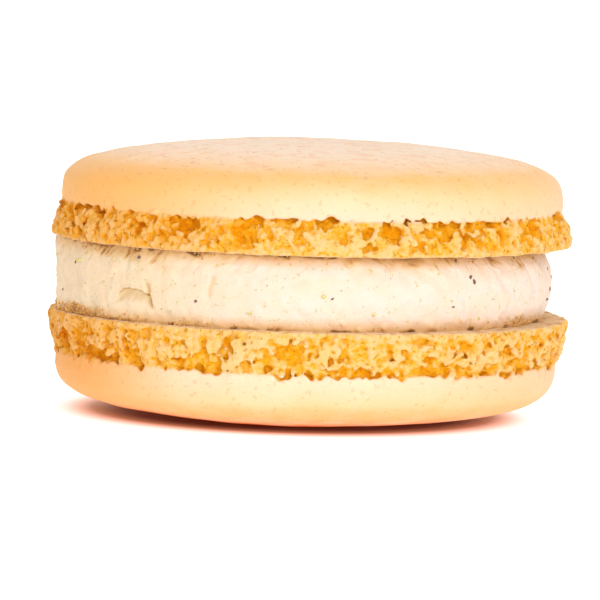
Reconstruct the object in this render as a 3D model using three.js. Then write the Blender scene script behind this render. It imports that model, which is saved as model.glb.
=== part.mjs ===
// A vanilla macaron: two almond meringue shells sandwiched with a thick layer of vanilla
// buttercream. Each shell is one baked piece, a smooth low dome (the skin) over a craggy collar
// of burst foam (the foot) that stands out past it. The lower shell lies on its crown.
//
// Millimetres, +Z up. The origin is the middle of the small flat spot that the macaron rests on.
// A shell is modelled crown up with its flat face at z = 0, then moved to its place.

import * as THREE from "three";

// ---------------------------------------------------------------- driving dimensions

const FOOT_RADIUS = 22.5; // to the rim of the foot, at the shell's flat face
const SKIN_RADIUS = 21.7; // the dome, where it meets the foot
const CREAM_RADIUS = 21.5; // the filling at its fullest
const CREAM_THICKNESS = 6.25; // between the two flat faces
const CREAM_SHIFT = -0.62; // the cream was piped a little to one side, along X
const BOND_GAP = 0.1; // kept free between the cream and each flat face

// footHeight is the height of the collar, and domeHeight that of the skin above it. The skin falls
// away gently from the crown by a share, fall, of the dome's height, and then turns down over the
// shoulder as a superellipse does, whose powers are across and up.
const TOP_SHELL = { seed: 20, footHeight: 3.25, domeHeight: 5.3, fall: 0.33, across: 6, up: 4.2 };
const BOTTOM_SHELL = { seed: 31, footHeight: 4, domeHeight: 5.4, fall: 0.39, across: 8, up: 3.2 };

const CROWN_FLAT = 0.25; // share of the dome's radius that is flat at the crown
const FALL_POWER = 1.6; // how late the gentle fall comes

const RIM_ROUNDING = 0.3; // at the foot's rim, where it meets the flat face
const FOOT_FLARE_POWER = 2.2; // how late the foot draws in from its rim to the skin
const SKIN_THICKNESS = 0.15; // of the skin's torn edge, which juts out over the foot's hollows
const FOOT_WOBBLE = 0.18; // how far the foot's outline strays from round
const SKIN_WOBBLE = 0.08; // and the skin's
const TORN_EDGE_WOBBLE = 0.22; // how far the skin's torn edge strays up and down in slow waves
const TORN_EDGE_TEETH = 0.12; // and from one tooth to the next
const CRUMB = 0.14; // how far the foot's crumbs stand out or in

// Foam bubbles that burst through the wall of the foot, given by how many go round it, their half
// width, their depth as a share of that, and how near the flat face they come as a share of the
// foot's height. The large ones crowd under the skin.
const LARGE_BUBBLES = { count: 54, smallest: 0.8, largest: 1.6, depth: 0.75, lowest: 0.5 };
const SMALL_BUBBLES = { count: 130, smallest: 0.35, largest: 0.8, depth: 0.8, lowest: 0.2 };
const BUBBLE_FLATNESS = 0.7; // a bubble's height over its width
const BUBBLE_SIZE_BIAS = 1.5; // above 1, most bubbles are near the smallest size

const CREAM_TOP_RECESS = 0.6; // how far the cream draws in under the top shell
const CREAM_BOTTOM_RECESS = 0.5; // and over the bottom shell
const RECESS_LEAN = 0.75; // how much more it draws in on the side it was piped away from
const RECESS_POWER = 2.4; // how late it draws in
const CREAM_WOBBLE = 0.14; // how far its side strays from round

// One shallow scoop that the palette knife left in the cream's side: degrees round from +X, the
// share of the cream's thickness, half width, half height and depth.
const SCOOP = { azimuth: 226, height: 0.36, halfWidth: 2.1, halfHeight: 1.25, depth: 0.4 };

const SHELL_SEGMENTS = 150;
const FOOT_ROWS = 8;
const SHOULDER_ROWS = 6;
const SHOULDER_TURN = THREE.MathUtils.degToRad(66); // how far round the superellipse they go
const SHOULDER_ROW_POWER = 1.6; // crowds them towards the dome's edge
const CROWN_ROWS = 3;
const CREAM_SEGMENTS = 84;
const CREAM_ROWS = 7;

// ---------------------------------------------------------------- repeatable chance

// Numbers from 0 to 1 in a row that depends on the seed alone.
function chance(seed) {
  let state = seed >>> 0;
  return () => {
    state = (state + 0x6d2b79f5) >>> 0;
    let mixed = Math.imul(state ^ (state >>> 15), state | 1);
    mixed ^= mixed + Math.imul(mixed ^ (mixed >>> 7), mixed | 61);
    return ((mixed ^ (mixed >>> 14)) >>> 0) / 2 ** 32;
  };
}

// A slow wave round the macaron, from -1 to 1: whole turns of falling strength, out of step.
function roundWave(seed, turns = [2, 3, 5, 8, 13]) {
  const draw = chance(seed);
  const waves = turns.map((turn) => ({ turn, phase: draw() * 2 * Math.PI, strength: 1 / Math.sqrt(turn) }));
  const whole = waves.reduce((sum, wave) => sum + wave.strength, 0);
  return (angle) =>
    waves.reduce((sum, wave) => sum + wave.strength * Math.sin(wave.turn * angle + wave.phase), 0) / whole;
}

// ---------------------------------------------------------------- shells

// The places of the dome's rows, as shares of the way from the flat spot (0) to its edge (1).
function domeShares(shell) {
  const shoulder = Array.from({ length: SHOULDER_ROWS + 1 }, (_, row) => {
    const turn = SHOULDER_TURN * (row / SHOULDER_ROWS) ** SHOULDER_ROW_POWER;
    return Math.cos(turn) ** (2 / shell.across);
  });
  const last = shoulder[SHOULDER_ROWS];
  const crown = Array.from({ length: CROWN_ROWS }, (_, row) => last * (1 - (row + 1) / CROWN_ROWS));
  return [...shoulder, ...crown];
}

// The outline from the middle of the flat face out to the rim, up the foot's wall, and over the
// shoulder to the crown. Its points carry the name of the stretch they belong to.
function shellOutline(shell) {
  const points = [];
  const add = (radius, height, stretch) => points.push({ radius, height, stretch, row: points.length });
  add(0, 0, "face");
  add(FOOT_RADIUS - RIM_ROUNDING, 0, "face");
  for (let row = 0; row <= FOOT_ROWS; row++) {
    const share = row / FOOT_ROWS;
    const radius = FOOT_RADIUS - (FOOT_RADIUS - SKIN_RADIUS) * share ** FOOT_FLARE_POWER;
    add(radius, RIM_ROUNDING + (shell.footHeight - SKIN_THICKNESS - RIM_ROUNDING) * share, "foot");
  }
  for (const share of domeShares(shell)) {
    const rise = (1 - share ** shell.across) ** (1 / shell.up);
    const lift = (1 - shell.fall) * rise + shell.fall * (1 - share ** FALL_POWER);
    const radius = SKIN_RADIUS * (CROWN_FLAT + (1 - CROWN_FLAT) * share);
    add(radius, shell.footHeight + shell.domeHeight * lift, share === 1 ? "edge" : "dome");
  }
  add(0, shell.footHeight + shell.domeHeight, "dome");
  return points;
}

// Bubbles spread evenly round the foot, each with its place, half width and depth.
function bubblesOf(kind, seed, footHeight) {
  const draw = chance(seed);
  return Array.from({ length: kind.count }, (_, i) => {
    const angle = ((i + draw()) / kind.count) * 2 * Math.PI;
    const radius = kind.smallest + (kind.largest - kind.smallest) * draw() ** BUBBLE_SIZE_BIAS;
    const height = footHeight * (kind.lowest + (1 - kind.lowest) * Math.sqrt(draw()));
    return { angle, radius, height, depth: radius * kind.depth };
  });
}

// How deep the bubbles cut the foot's wall at a point: the deepest one that reaches it.
function bubbleDepth(bubbles, angle, height) {
  let deepest = 0;
  for (const bubble of bubbles) {
    const turn = Math.atan2(Math.sin(angle - bubble.angle), Math.cos(angle - bubble.angle));
    const along = (turn * FOOT_RADIUS) / bubble.radius;
    const up = (height - bubble.height) / (bubble.radius * BUBBLE_FLATNESS);
    const off = along * along + up * up;
    if (off < 1) deepest = Math.max(deepest, bubble.depth * Math.sqrt(1 - off));
  }
  return deepest;
}

// The relief of one shell: the point where an outline point ends up at an angle round the shell.
function shellRelief(shell, rows) {
  const bubbles = [
    ...bubblesOf(LARGE_BUBBLES, shell.seed, shell.footHeight),
    ...bubblesOf(SMALL_BUBBLES, shell.seed + 1, shell.footHeight),
  ];
  const footWave = roundWave(shell.seed + 2);
  const skinWave = roundWave(shell.seed + 3, [2, 3, 4]);
  const edgeWave = roundWave(shell.seed + 4);
  const draw = chance(shell.seed + 5);
  const jitter = Array.from({ length: SHELL_SEGMENTS * rows }, () => 2 * draw() - 1);
  return (point, angle, segment) => {
    let { radius, height } = point;
    const skin = SKIN_WOBBLE * skinWave(angle);
    const uneven = jitter[segment * rows + point.row];
    if (point.stretch === "face") radius += (FOOT_WOBBLE * footWave(angle) * radius) / FOOT_RADIUS;
    if (point.stretch === "dome") radius += (skin * radius) / SKIN_RADIUS;
    if (point.stretch === "edge") {
      radius += skin;
      height += TORN_EDGE_WOBBLE * edgeWave(angle) + TORN_EDGE_TEETH * uneven;
    }
    if (point.stretch === "foot") {
      const share = height / shell.footHeight;
      radius += FOOT_WOBBLE * footWave(angle) * (1 - share) + skin * share;
      radius += CRUMB * uneven * (0.5 + 0.5 * share) - bubbleDepth(bubbles, angle, height);
      height += TORN_EDGE_WOBBLE * edgeWave(angle) * share ** 2;
    }
    return { radius, height };
  };
}

// ---------------------------------------------------------------- cream

// The outline of the cream from the middle of its underside to the middle of its top. Height is
// kept as a share of the thickness.
function creamOutline() {
  const side = Array.from({ length: CREAM_ROWS + 1 }, (_, row) => {
    return { radius: CREAM_RADIUS, height: row / CREAM_ROWS };
  });
  return [{ radius: 0, height: 0 }, ...side, { radius: 0, height: 1 }];
}

// How deep the knife's scoop is at a point: full in its middle, and nothing at its edge.
function scoopDepth(angle, height) {
  const middle = THREE.MathUtils.degToRad(SCOOP.azimuth);
  const turn = Math.atan2(Math.sin(angle - middle), Math.cos(angle - middle));
  const along = (turn * CREAM_RADIUS) / SCOOP.halfWidth;
  const up = ((height - SCOOP.height) * CREAM_THICKNESS) / SCOOP.halfHeight;
  return SCOOP.depth * Math.max(0, 1 - along * along - up * up);
}

function creamRelief() {
  const wave = roundWave(47);
  const thickness = CREAM_THICKNESS - 2 * BOND_GAP;
  return (point, angle) => {
    const height = BOND_GAP + thickness * point.height;
    if (point.radius === 0) return { radius: 0, height };
    const fromMiddle = 2 * point.height - 1;
    const recess = fromMiddle > 0 ? CREAM_TOP_RECESS : CREAM_BOTTOM_RECESS;
    const drawnIn = recess * (1 + RECESS_LEAN * Math.cos(angle)) * Math.abs(fromMiddle) ** RECESS_POWER;
    const radius = point.radius - drawnIn + CREAM_WOBBLE * wave(angle) - scoopDepth(angle, point.height);
    return { radius, height };
  };
}

// ---------------------------------------------------------------- meshes

// The faces of a turned outline, with the quads split along one diagonal and the other by turns,
// so that the relief leans neither way.
function checkeredFaces(rows, segments) {
  const faces = [];
  for (let segment = 0; segment < segments; segment++) {
    for (let row = 0; row < rows - 1; row++) {
      const [a, b] = [segment * rows + row, (segment + 1) * rows + row];
      if ((segment + row) % 2 === 0) faces.push(a, b, a + 1, b + 1, a + 1, b);
      else faces.push(a, b, b + 1, a, b + 1, a + 1);
    }
  }
  return faces;
}

// Turns an outline about Z and moves each point to where the relief puts it.
function turned(outline, segments, relief) {
  const lathe = outline.map(({ radius, height }) => new THREE.Vector2(radius, height));
  const geometry = new THREE.LatheGeometry(lathe, segments);
  geometry.setIndex(checkeredFaces(outline.length, segments));
  geometry.rotateX(Math.PI / 2);
  const position = geometry.getAttribute("position");
  for (let i = 0; i < position.count; i++) {
    const segment = Math.floor(i / outline.length) % segments;
    const angle = (segment / segments) * 2 * Math.PI - Math.PI / 2;
    const { radius, height } = relief(outline[i % outline.length], angle, segment);
    position.setXYZ(i, radius * Math.cos(angle), radius * Math.sin(angle), height);
  }
  geometry.computeVertexNormals();
  return geometry;
}

function named(name, geometry, material) {
  const mesh = new THREE.Mesh(geometry, material);
  mesh.name = name;
  return mesh;
}

function shellMesh(name, shell) {
  const biscuit = new THREE.MeshStandardMaterial({ color: 0xf3c27a, roughness: 0.85, metalness: 0 });
  const outline = shellOutline(shell);
  return named(name, turned(outline, SHELL_SEGMENTS, shellRelief(shell, outline.length)), biscuit);
}

function creamMesh() {
  const buttercream = new THREE.MeshStandardMaterial({ color: 0xf8ead2, roughness: 0.6, metalness: 0 });
  return named("filling", turned(creamOutline(), CREAM_SEGMENTS, creamRelief()), buttercream);
}

// ---------------------------------------------------------------- the macaron

const bottomFace = BOTTOM_SHELL.domeHeight + BOTTOM_SHELL.footHeight;

const bottomShell = shellMesh("shell_bottom", BOTTOM_SHELL);
bottomShell.rotation.x = Math.PI;
bottomShell.position.z = bottomFace;

const cream = creamMesh();
cream.position.set(CREAM_SHIFT, 0, bottomFace);

const topShell = shellMesh("shell_top", TOP_SHELL);
topShell.position.z = bottomFace + CREAM_THICKNESS;

const macaron = new THREE.Group();
macaron.add(bottomShell, cream, topShell);
export default macaron;
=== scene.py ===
# %% [markdown]
# # A vanilla macaron
# A macaron is two almond meringue shells around a filling. In the oven each shell sets a smooth
# skin first. The foam under it then rises, lifts the skin, and bursts out below it as a craggy
# collar, the foot. So each shell has three surfaces to make: skin, torn edge and foam.
#
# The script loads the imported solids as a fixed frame. Each solid is then replaced by a detailed
# mesh in the same place, worked out in millimetres and written in metres.

import math
from dataclasses import dataclass

import bmesh
import bpy
import numpy as np
from mathutils import Euler, Matrix, Vector


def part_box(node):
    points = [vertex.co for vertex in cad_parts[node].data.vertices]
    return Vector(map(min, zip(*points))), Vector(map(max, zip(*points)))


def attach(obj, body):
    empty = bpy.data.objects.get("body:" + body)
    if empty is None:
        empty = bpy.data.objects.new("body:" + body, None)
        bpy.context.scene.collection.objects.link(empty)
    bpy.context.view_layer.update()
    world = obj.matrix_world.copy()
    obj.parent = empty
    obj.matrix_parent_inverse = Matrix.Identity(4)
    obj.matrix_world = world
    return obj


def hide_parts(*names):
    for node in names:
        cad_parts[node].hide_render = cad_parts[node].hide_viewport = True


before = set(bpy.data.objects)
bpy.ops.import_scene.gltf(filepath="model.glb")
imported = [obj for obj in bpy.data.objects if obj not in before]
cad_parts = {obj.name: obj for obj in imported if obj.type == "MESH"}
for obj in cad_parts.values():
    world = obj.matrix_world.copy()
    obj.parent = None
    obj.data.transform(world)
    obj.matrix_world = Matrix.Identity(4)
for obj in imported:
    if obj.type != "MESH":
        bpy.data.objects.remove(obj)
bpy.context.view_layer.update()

MM = 0.001
TAU = 2 * math.pi
BOTTOM_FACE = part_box("shell_bottom")[1].z / MM
TOP_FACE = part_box("shell_top")[0].z / MM
print("flat faces of the shells at", round(BOTTOM_FACE, 2), "and", round(TOP_FACE, 2), "mm")

# %% [markdown]
# ## Camera
# The macaron is seen nearly side on, from far away with a long lens, so that both shells keep
# their true proportions. The camera hangs a little out of level, which the roll gives.

# %% Camera
CAMERA_DISTANCE = 590 * MM
CAMERA_ELEVATION = math.radians(4.4)
CAMERA_ROLL = math.radians(1.6)
LENS = 408.0  # focal length in millimetres
MIDDLE_HEIGHT = 11.7 * MM  # the point of the axis that the framing is measured from
LEFT_OF_MIDDLE = 0.87 * MM  # how far the camera is moved aside in its own picture
BELOW_MIDDLE = 1.3 * MM
NEAREST_SEEN = 10 * MM


def link(thing):
    """Puts an object in the scene."""
    bpy.context.scene.collection.objects.link(thing)
    return thing


camera_data = bpy.data.cameras.new("camera")
camera_data.lens = LENS
camera_data.clip_start = NEAREST_SEEN
camera = link(bpy.data.objects.new("camera", camera_data))
bpy.context.scene.camera = camera

tilt = Matrix.Rotation(math.pi / 2 - CAMERA_ELEVATION, 4, "X")
turn = tilt @ Matrix.Rotation(CAMERA_ROLL, 4, "Z")
offset = Vector((-LEFT_OF_MIDDLE, -BELOW_MIDDLE, CAMERA_DISTANCE))
camera.matrix_world = Matrix.Translation(Vector((0, 0, MIDDLE_HEIGHT)) + turn.to_3x3() @ offset) @ turn
print("camera at", [round(value, 3) for value in camera.matrix_world.translation])

# %% [markdown]
# ## Helpers
# Materials are small graphs of nodes. Placing each node by hand would take four lines, so these
# helpers add one node, or one usual step, in a line.

# %% Helpers for nodes


def principled(name):
    """A new material, its nodes and its Principled BSDF."""
    material = bpy.data.materials.new(name)
    material.use_nodes = True
    return material, material.node_tree, material.node_tree.nodes["Principled BSDF"]


def add_node(tree, kind, values=None, **settings):
    """A node in a tree. A value is set on the input of that name, or linked if it is a socket."""
    node = tree.nodes.new(kind)
    for name, value in settings.items():
        setattr(node, name, value)
    for name, value in (values or {}).items():
        if isinstance(value, bpy.types.NodeSocket):
            tree.links.new(value, node.inputs[name])
        else:
            node.inputs[name].default_value = value
    return node


def math_node(tree, operation, *values):
    """One step of arithmetic on sockets or numbers."""
    node = add_node(tree, "ShaderNodeMath", dict(enumerate(values)), operation=operation)
    return node.outputs[0]


def mix_colour(tree, factor, one, other, blend="MIX"):
    """Mixes two colours. Inputs 0, 6 and 7 of the node are its factor and its two colours."""
    values = {0: factor, 6: one, 7: other}
    node = add_node(tree, "ShaderNodeMix", values, data_type="RGBA", blend_type=blend)
    return node.outputs[2]


print("helpers for nodes: principled, add_node, math_node, mix_colour")

# %% Helpers for masks and colours


def stored(tree, name):
    """A value that is kept at each point of the mesh."""
    return add_node(tree, "ShaderNodeAttribute", attribute_name=name).outputs["Fac"]


def shade_band(tree, value, low, high):
    """0 below low, 1 above high, and a soft slope between."""
    values = {"Value": value, "From Min": low, "From Max": high}
    return add_node(tree, "ShaderNodeMapRange", values, interpolation_type="SMOOTHSTEP").outputs[0]


def share_node(tree, mask, plain, full):
    """A value that goes from plain to full as the mask goes from 0 to 1."""
    return math_node(tree, "MULTIPLY_ADD", mask, full - plain, plain)


def colour_ramp(tree, value, stops):
    """The colour at a value, from stops of (value, colour)."""
    ramp = add_node(tree, "ShaderNodeValToRGB", {"Fac": value})
    while len(ramp.color_ramp.elements) < len(stops):
        ramp.color_ramp.elements.new(1)
    for element, (place, colour) in zip(ramp.color_ramp.elements, stops):
        element.position = place
        element.color = (*colour, 1)
    return ramp.outputs["Color"]


print("helpers for masks: stored, shade_band, share_node, colour_ramp")

# %% [markdown]
# ## Light
# The macaron stands in a light tent on a light table, a white sheet that glows. In a soft oval
# under the macaron its glow is taken away: a painted shadow, dark and warm close to it, while the
# table's light keeps the underside bright. A shadow alone would be grey: the painted shadow's
# ramp gives its own tint.

# %% Light table
FLOOR_SIZE = 6.0
FLOOR_COLOUR = (0.35, 0.33, 0.32, 1)
FLOOR_ROUGHNESS = 0.8
GLOW_AND_PAINTED_SHADOW_STOPS = (
    # share of the way through the painted shadow's edge, light of the table, dark and tinted inside
    (0.0, (0.05, 0.004, 0.0)),
    (0.25, (0.29, 0.09, 0.04)),
    (0.45, (0.72, 0.35, 0.26)),
    (0.65, (0.96, 0.67, 0.60)),
    (0.85, (1.0, 0.90, 0.87)),
    (1.0, (1.0, 1.0, 1.0)),
)
PAINTED_SHADOW_MIDDLE = Vector((-1.2, 7.3, 0)) * MM
PAINTED_SHADOW_HALF_SIZE = Vector((22.0, 24.6, 1000)) * MM
PAINTED_SHADOW_EDGE = (0.67, 1.07)  # shares of the half size between which the painted shadow thins out

floor_material, tree, shader = principled("light_table_with_painted_shadow")
place = add_node(tree, "ShaderNodeTexCoord").outputs["Object"]
from_middle = add_node(tree, "ShaderNodeVectorMath", {0: place, 1: PAINTED_SHADOW_MIDDLE}, operation="SUBTRACT")
values = {0: from_middle.outputs[0], 1: PAINTED_SHADOW_HALF_SIZE}
in_shares = add_node(tree, "ShaderNodeVectorMath", values, operation="DIVIDE").outputs[0]
way_out = add_node(tree, "ShaderNodeVectorMath", {0: in_shares}, operation="LENGTH").outputs["Value"]
# A painted shadow: the glow fades out, dark and tinted, in an oval under the macaron.
outside_painted_shadow = shade_band(tree, way_out, *PAINTED_SHADOW_EDGE)
tree.links.new(colour_ramp(tree, outside_painted_shadow, GLOW_AND_PAINTED_SHADOW_STOPS), shader.inputs["Emission Color"])
shader.inputs["Emission Strength"].default_value = 1.0
shader.inputs["Base Color"].default_value = FLOOR_COLOUR
shader.inputs["Roughness"].default_value = FLOOR_ROUGHNESS

half = FLOOR_SIZE / 2
floor_mesh = bpy.data.meshes.new("floor")
corners = [(-half, -half, 0), (half, -half, 0), (half, half, 0), (-half, half, 0)]
floor_mesh.from_pydata(corners, [], [(0, 1, 2, 3)])
floor_mesh.materials.append(floor_material)
link(bpy.data.objects.new("floor", floor_mesh))
print("light table", FLOOR_SIZE, "m square")

# %% [markdown]
# ## Tent and lamp
# The tent is brightest overhead, and its left side is a warmer white. One wide soft lamp shines in
# from the front, a little above the camera. It could be an area lamp, but a sun with a wide angle
# falls on the whole floor alike. Plain colours stay true without a film look, so the view
# transform is the standard one.

# %% Light tent
TENT_WHITE = (1, 1, 1, 1)
TENT_WARM = (1.0, 0.84, 0.68, 1)
TENT_BLEND = (-0.9, 0.3)  # the directions along X between which the tent goes from warm to white
TENT_RISE = (0.1, 0.9)  # the directions along Z between which it grows brighter
TENT_STRENGTHS = (0.62, 1.08)  # at its sides, and overhead

world = bpy.data.worlds.new("light_tent")
world.use_nodes = True
bpy.context.scene.world = world
tree = world.node_tree
way = add_node(tree, "ShaderNodeTexCoord").outputs["Generated"]
axes = add_node(tree, "ShaderNodeSeparateXYZ", {0: way}).outputs
tent_colour = mix_colour(tree, shade_band(tree, axes["X"], *TENT_BLEND), TENT_WARM, TENT_WHITE)
tree.links.new(tent_colour, tree.nodes["Background"].inputs["Color"])
tent_strength = share_node(tree, shade_band(tree, axes["Z"], *TENT_RISE), *TENT_STRENGTHS)
tree.links.new(tent_strength, tree.nodes["Background"].inputs["Strength"])
print("tent strength from", TENT_STRENGTHS[0], "at its sides to", TENT_STRENGTHS[1], "overhead")

# %% Soft lamp
LAMP_STRENGTH = 1.66
LAMP_ANGLE = math.radians(40)
LAMP_PLACE = Vector((0.22, -0.95, 0.28))  # only the direction counts

lamp_data = bpy.data.lights.new("soft_lamp", "SUN")
lamp_data.energy = LAMP_STRENGTH
lamp_data.angle = LAMP_ANGLE
lamp = link(bpy.data.objects.new("soft_lamp", lamp_data))
lamp.rotation_euler = LAMP_PLACE.to_track_quat("Z", "Y").to_euler()
bpy.context.scene.view_settings.view_transform = "Standard"
bpy.context.scene.view_settings.look = "None"
lamp_height = math.degrees(math.pi / 2 - LAMP_PLACE.angle((0, 0, 1)))
print("lamp", round(lamp_height), "degrees up")

# %% [markdown]
# ## Repeatable chance
# Foam is irregular, but the file has to give the same foam each time. A small generator that
# depends on its seed alone places the burst bubbles, by the same rule as in the solids, so each
# crag lies where the solid has it.

# %% Chance and slow waves
WORD = 0xFFFFFFFF  # keeps a number to 32 bits


def chance(seed):
    """Numbers from 0 to 1, in a row that depends on the seed alone. The odd constant and the
    shifts are those of the generator called mulberry32."""
    state = seed
    while True:
        state = (state + 0x6D2B79F5) & WORD
        mixed = (state ^ (state >> 15)) * (state | 1) & WORD
        mixed ^= (mixed + (mixed ^ (mixed >> 7)) * (mixed | 61)) & WORD
        yield (mixed ^ (mixed >> 14)) / 2**32


def round_wave(angle, seed, turns=(2, 3, 5, 8, 13)):
    """A slow wave round the macaron, from -1 to 1."""
    draw = chance(seed)
    strengths = [1 / math.sqrt(turn) for turn in turns]
    waves = (strength * np.sin(turn * angle + next(draw) * TAU) for turn, strength in zip(turns, strengths))
    return sum(waves) / sum(strengths)


draw = chance(20)
print("the first draws of seed 20:", [round(next(draw), 4) for _ in range(3)])

# %% [markdown]
# ## The shells' sizes
# Both shells share their radii. The lower one has the taller foot and the rounder shoulder. A
# shell is made crown up with its flat face at height nought, and turned over at the end if it is
# the lower one, so both are described in the same way.

# %% Shell dimensions, in millimetres
FOOT_RADIUS = 22.5  # to the rim of the foot, at the shell's flat face
SKIN_RADIUS = 21.7  # the dome, where it meets the foot
SKIN_THICKNESS = 0.15  # of the skin's torn edge
CROWN_FLAT = 0.25  # share of the dome's radius that is flat at the crown
FALL_POWER = 1.6  # how late the crown's gentle fall comes
RIM_ROUNDING = 0.3  # where the foot's rim meets the flat face
FOOT_FLARE_POWER = 2.2  # how late the foot draws in from its rim to the skin
FOOT_WOBBLE = 0.18  # how far the foot's outline strays from round
SKIN_WOBBLE = 0.08  # and the skin's
SKIN_WOBBLE_TURNS = (2, 3, 4)  # the skin's has slow waves only
TORN_EDGE_WOBBLE = 0.22  # how far the torn edge strays up and down in slow waves


@dataclass
class Shell:
    name: str
    node: str
    seed: int  # each use of chance adds a number of its own to it
    foot: float  # height of the foot
    dome: float  # height of the skin above the foot
    fall: float  # share of that height by which the crown falls gently
    across: float  # how square the shoulder is, as a superellipse's power
    up: float  # and its power in height
    face: float  # height of the flat face in the macaron
    turned_over: bool
    lean: float  # how far the dome leans along X
    hollow: float  # how far inside the wall the hollows end
    # For the lower shell, paler is painted light: its foam is drawn paler to stand in for light on its foot.
    paler: float  # by how many mm of depth the foam's colours lag behind


TOP = Shell(
    name="top_shell", node="shell_top", seed=20, foot=3.25, dome=5.3, fall=0.33, across=6, up=4.2,
    face=TOP_FACE, turned_over=False, lean=0.0, hollow=0.9, paler=0.0,
)
BOTTOM = Shell(
    name="bottom_shell", node="shell_bottom", seed=31, foot=4.0, dome=5.4, fall=0.39, across=8, up=3.2,
    face=BOTTOM_FACE, turned_over=True, lean=-0.3, hollow=0.6, paler=0.1,
)
print("shell heights", TOP.foot + TOP.dome, "and", BOTTOM.foot + BOTTOM.dome, "mm")

# %% [markdown]
# ## Foam as a field
# A foot is full of undercut hollows, which pushing a sheet in and out can't make. Instead the foam
# is a field of numbers on a fine grid wrapped round the shell: negative in the biscuit, positive
# in the air. Hollows are carved from it and lumps added to it as distances, and the surface is
# then drawn where the field is nought. Voxel remeshing would do the same, but its grid would
# have to be as fine over the smooth dome, where nothing needs it.

# %% The grid round the shell
GRID_TURNS = 1320  # steps round the shell, each as long as GRID_STEP at the wall
GRID_STEP = 0.107  # outward and upward
GRID_INNER = 20.3  # radii between which the foam is worked out
GRID_OUTER = 23.2
GRID_BELOW = 0.3  # how much of the air under the flat face it takes in
SKIN_IN_GRID = 1.1  # and how much of the skin above the foot


@dataclass
class Grid:
    angle: np.ndarray
    radius: np.ndarray
    height: np.ndarray

    @property
    def shape(self):
        return len(self.angle), len(self.radius), len(self.height)

    @property
    def axes(self):
        """Angle, radius and height, each laid along its own axis of the field."""
        return self.angle[:, None, None], self.radius[None, :, None], self.height[None, None, :]


def grid_for(shell):
    """The grid round a shell's foot and the lower part of its skin."""
    angle = np.arange(GRID_TURNS) * TAU / GRID_TURNS
    radius = np.arange(GRID_INNER, GRID_OUTER, GRID_STEP)
    height = np.arange(-GRID_BELOW, shell.foot + SKIN_IN_GRID, GRID_STEP)
    return Grid(angle, radius, height)


print("grid points of the top shell:", math.prod(grid_for(TOP).shape))

# %% [markdown]
# ## Noise
# Real foam has no two bubbles alike. Noise is chance that changes smoothly from place to place:
# random numbers stand at widely spaced knots, and a spline blends them in between. Blender's own
# textures could be read point by point, but on a regular grid three small matrices do it at once.

# %% Noise on the grid
SPARE_KNOTS = 4  # a spline reaches past the last whole step


def spline_blend(places, knots, wraps):
    """A matrix that blends values at the knots 0, 1, 2... into smooth values at the places."""
    whole = np.floor(places).astype(int)
    part = places - whole
    weights = (
        (1 - part) ** 3 / 6,
        (3 * part**3 - 6 * part**2 + 4) / 6,
        (-3 * part**3 + 3 * part**2 + 3 * part + 1) / 6,
        part**3 / 6,
    )
    blend = np.zeros((len(places), knots), np.float32)
    for step, weight in enumerate(weights):
        column = (whole + step) % knots if wraps else whole + step
        blend[np.arange(len(places)), column] += weight
    return blend


def grid_noise(grid, size, seed, stretch=1.0):
    """Soft noise on the grid, about from -1 to 1, with lumps of that size in mm, which stretch
    draws out round the shell."""
    round_knots = round(TAU * FOOT_RADIUS / (size * stretch))
    turning = spline_blend(grid.angle * round_knots / TAU, round_knots, True)
    outward, upward = (
        spline_blend((places - places[0]) / size, int(np.ptp(places) / size) + SPARE_KNOTS, False)
        for places in (grid.radius, grid.height)
    )
    knots = np.random.default_rng(seed).uniform(-1, 1, (round_knots, outward.shape[1], upward.shape[1]))
    noise = np.tensordot(turning, knots.astype(np.float32), (1, 0))
    noise = np.tensordot(noise, outward, (1, 1))
    noise = np.tensordot(noise, upward, (1, 1))
    return noise / (2 * noise.std())


def layers(grid, sizes, seed, stretch=1.0):
    """Noise of several sizes, each with its own strength, laid over each other."""
    parts = [strength * grid_noise(grid, size, seed + i, stretch) for i, (size, strength) in enumerate(sizes)]
    return sum(parts)


print("halfway between two knots four of them count:", spline_blend(np.array([0.5]), 4, False).round(3)[0])

# %% Smooth steps and unions


def smooth_max(one, other, width):
    """The larger of two fields, with the crease between them rounded over that width."""
    meet = np.clip(0.5 + (one - other) / (2 * width), 0, 1)
    return other + (one - other) * meet + width * meet * (1 - meet)


def smooth_min(one, other, width):
    """The smaller of two fields, rounded in the same way."""
    return -smooth_max(-one, -other, width)


def smooth_step(value, low, high):
    """0 below low, 1 above high, and a soft slope between."""
    share = np.clip((value - low) / (high - low), 0, 1)
    return share * share * (3 - 2 * share)


print("two fields of 0 meet at", smooth_max(0.0, 0.0, 0.2), "when rounded over 0.2 mm")

# %% Distance from many blobs
BLOB_SPREAD = 1.4  # how far out from a blob's middle its distance is worked out, over its half size
BEND_ROOM = 0.4  # and how much further, for the bends of the space round it
BEND_STEPS = 3  # the same room, in steps round the shell
NO_BLOB = 9.0  # the distance where no blob is near


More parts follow.
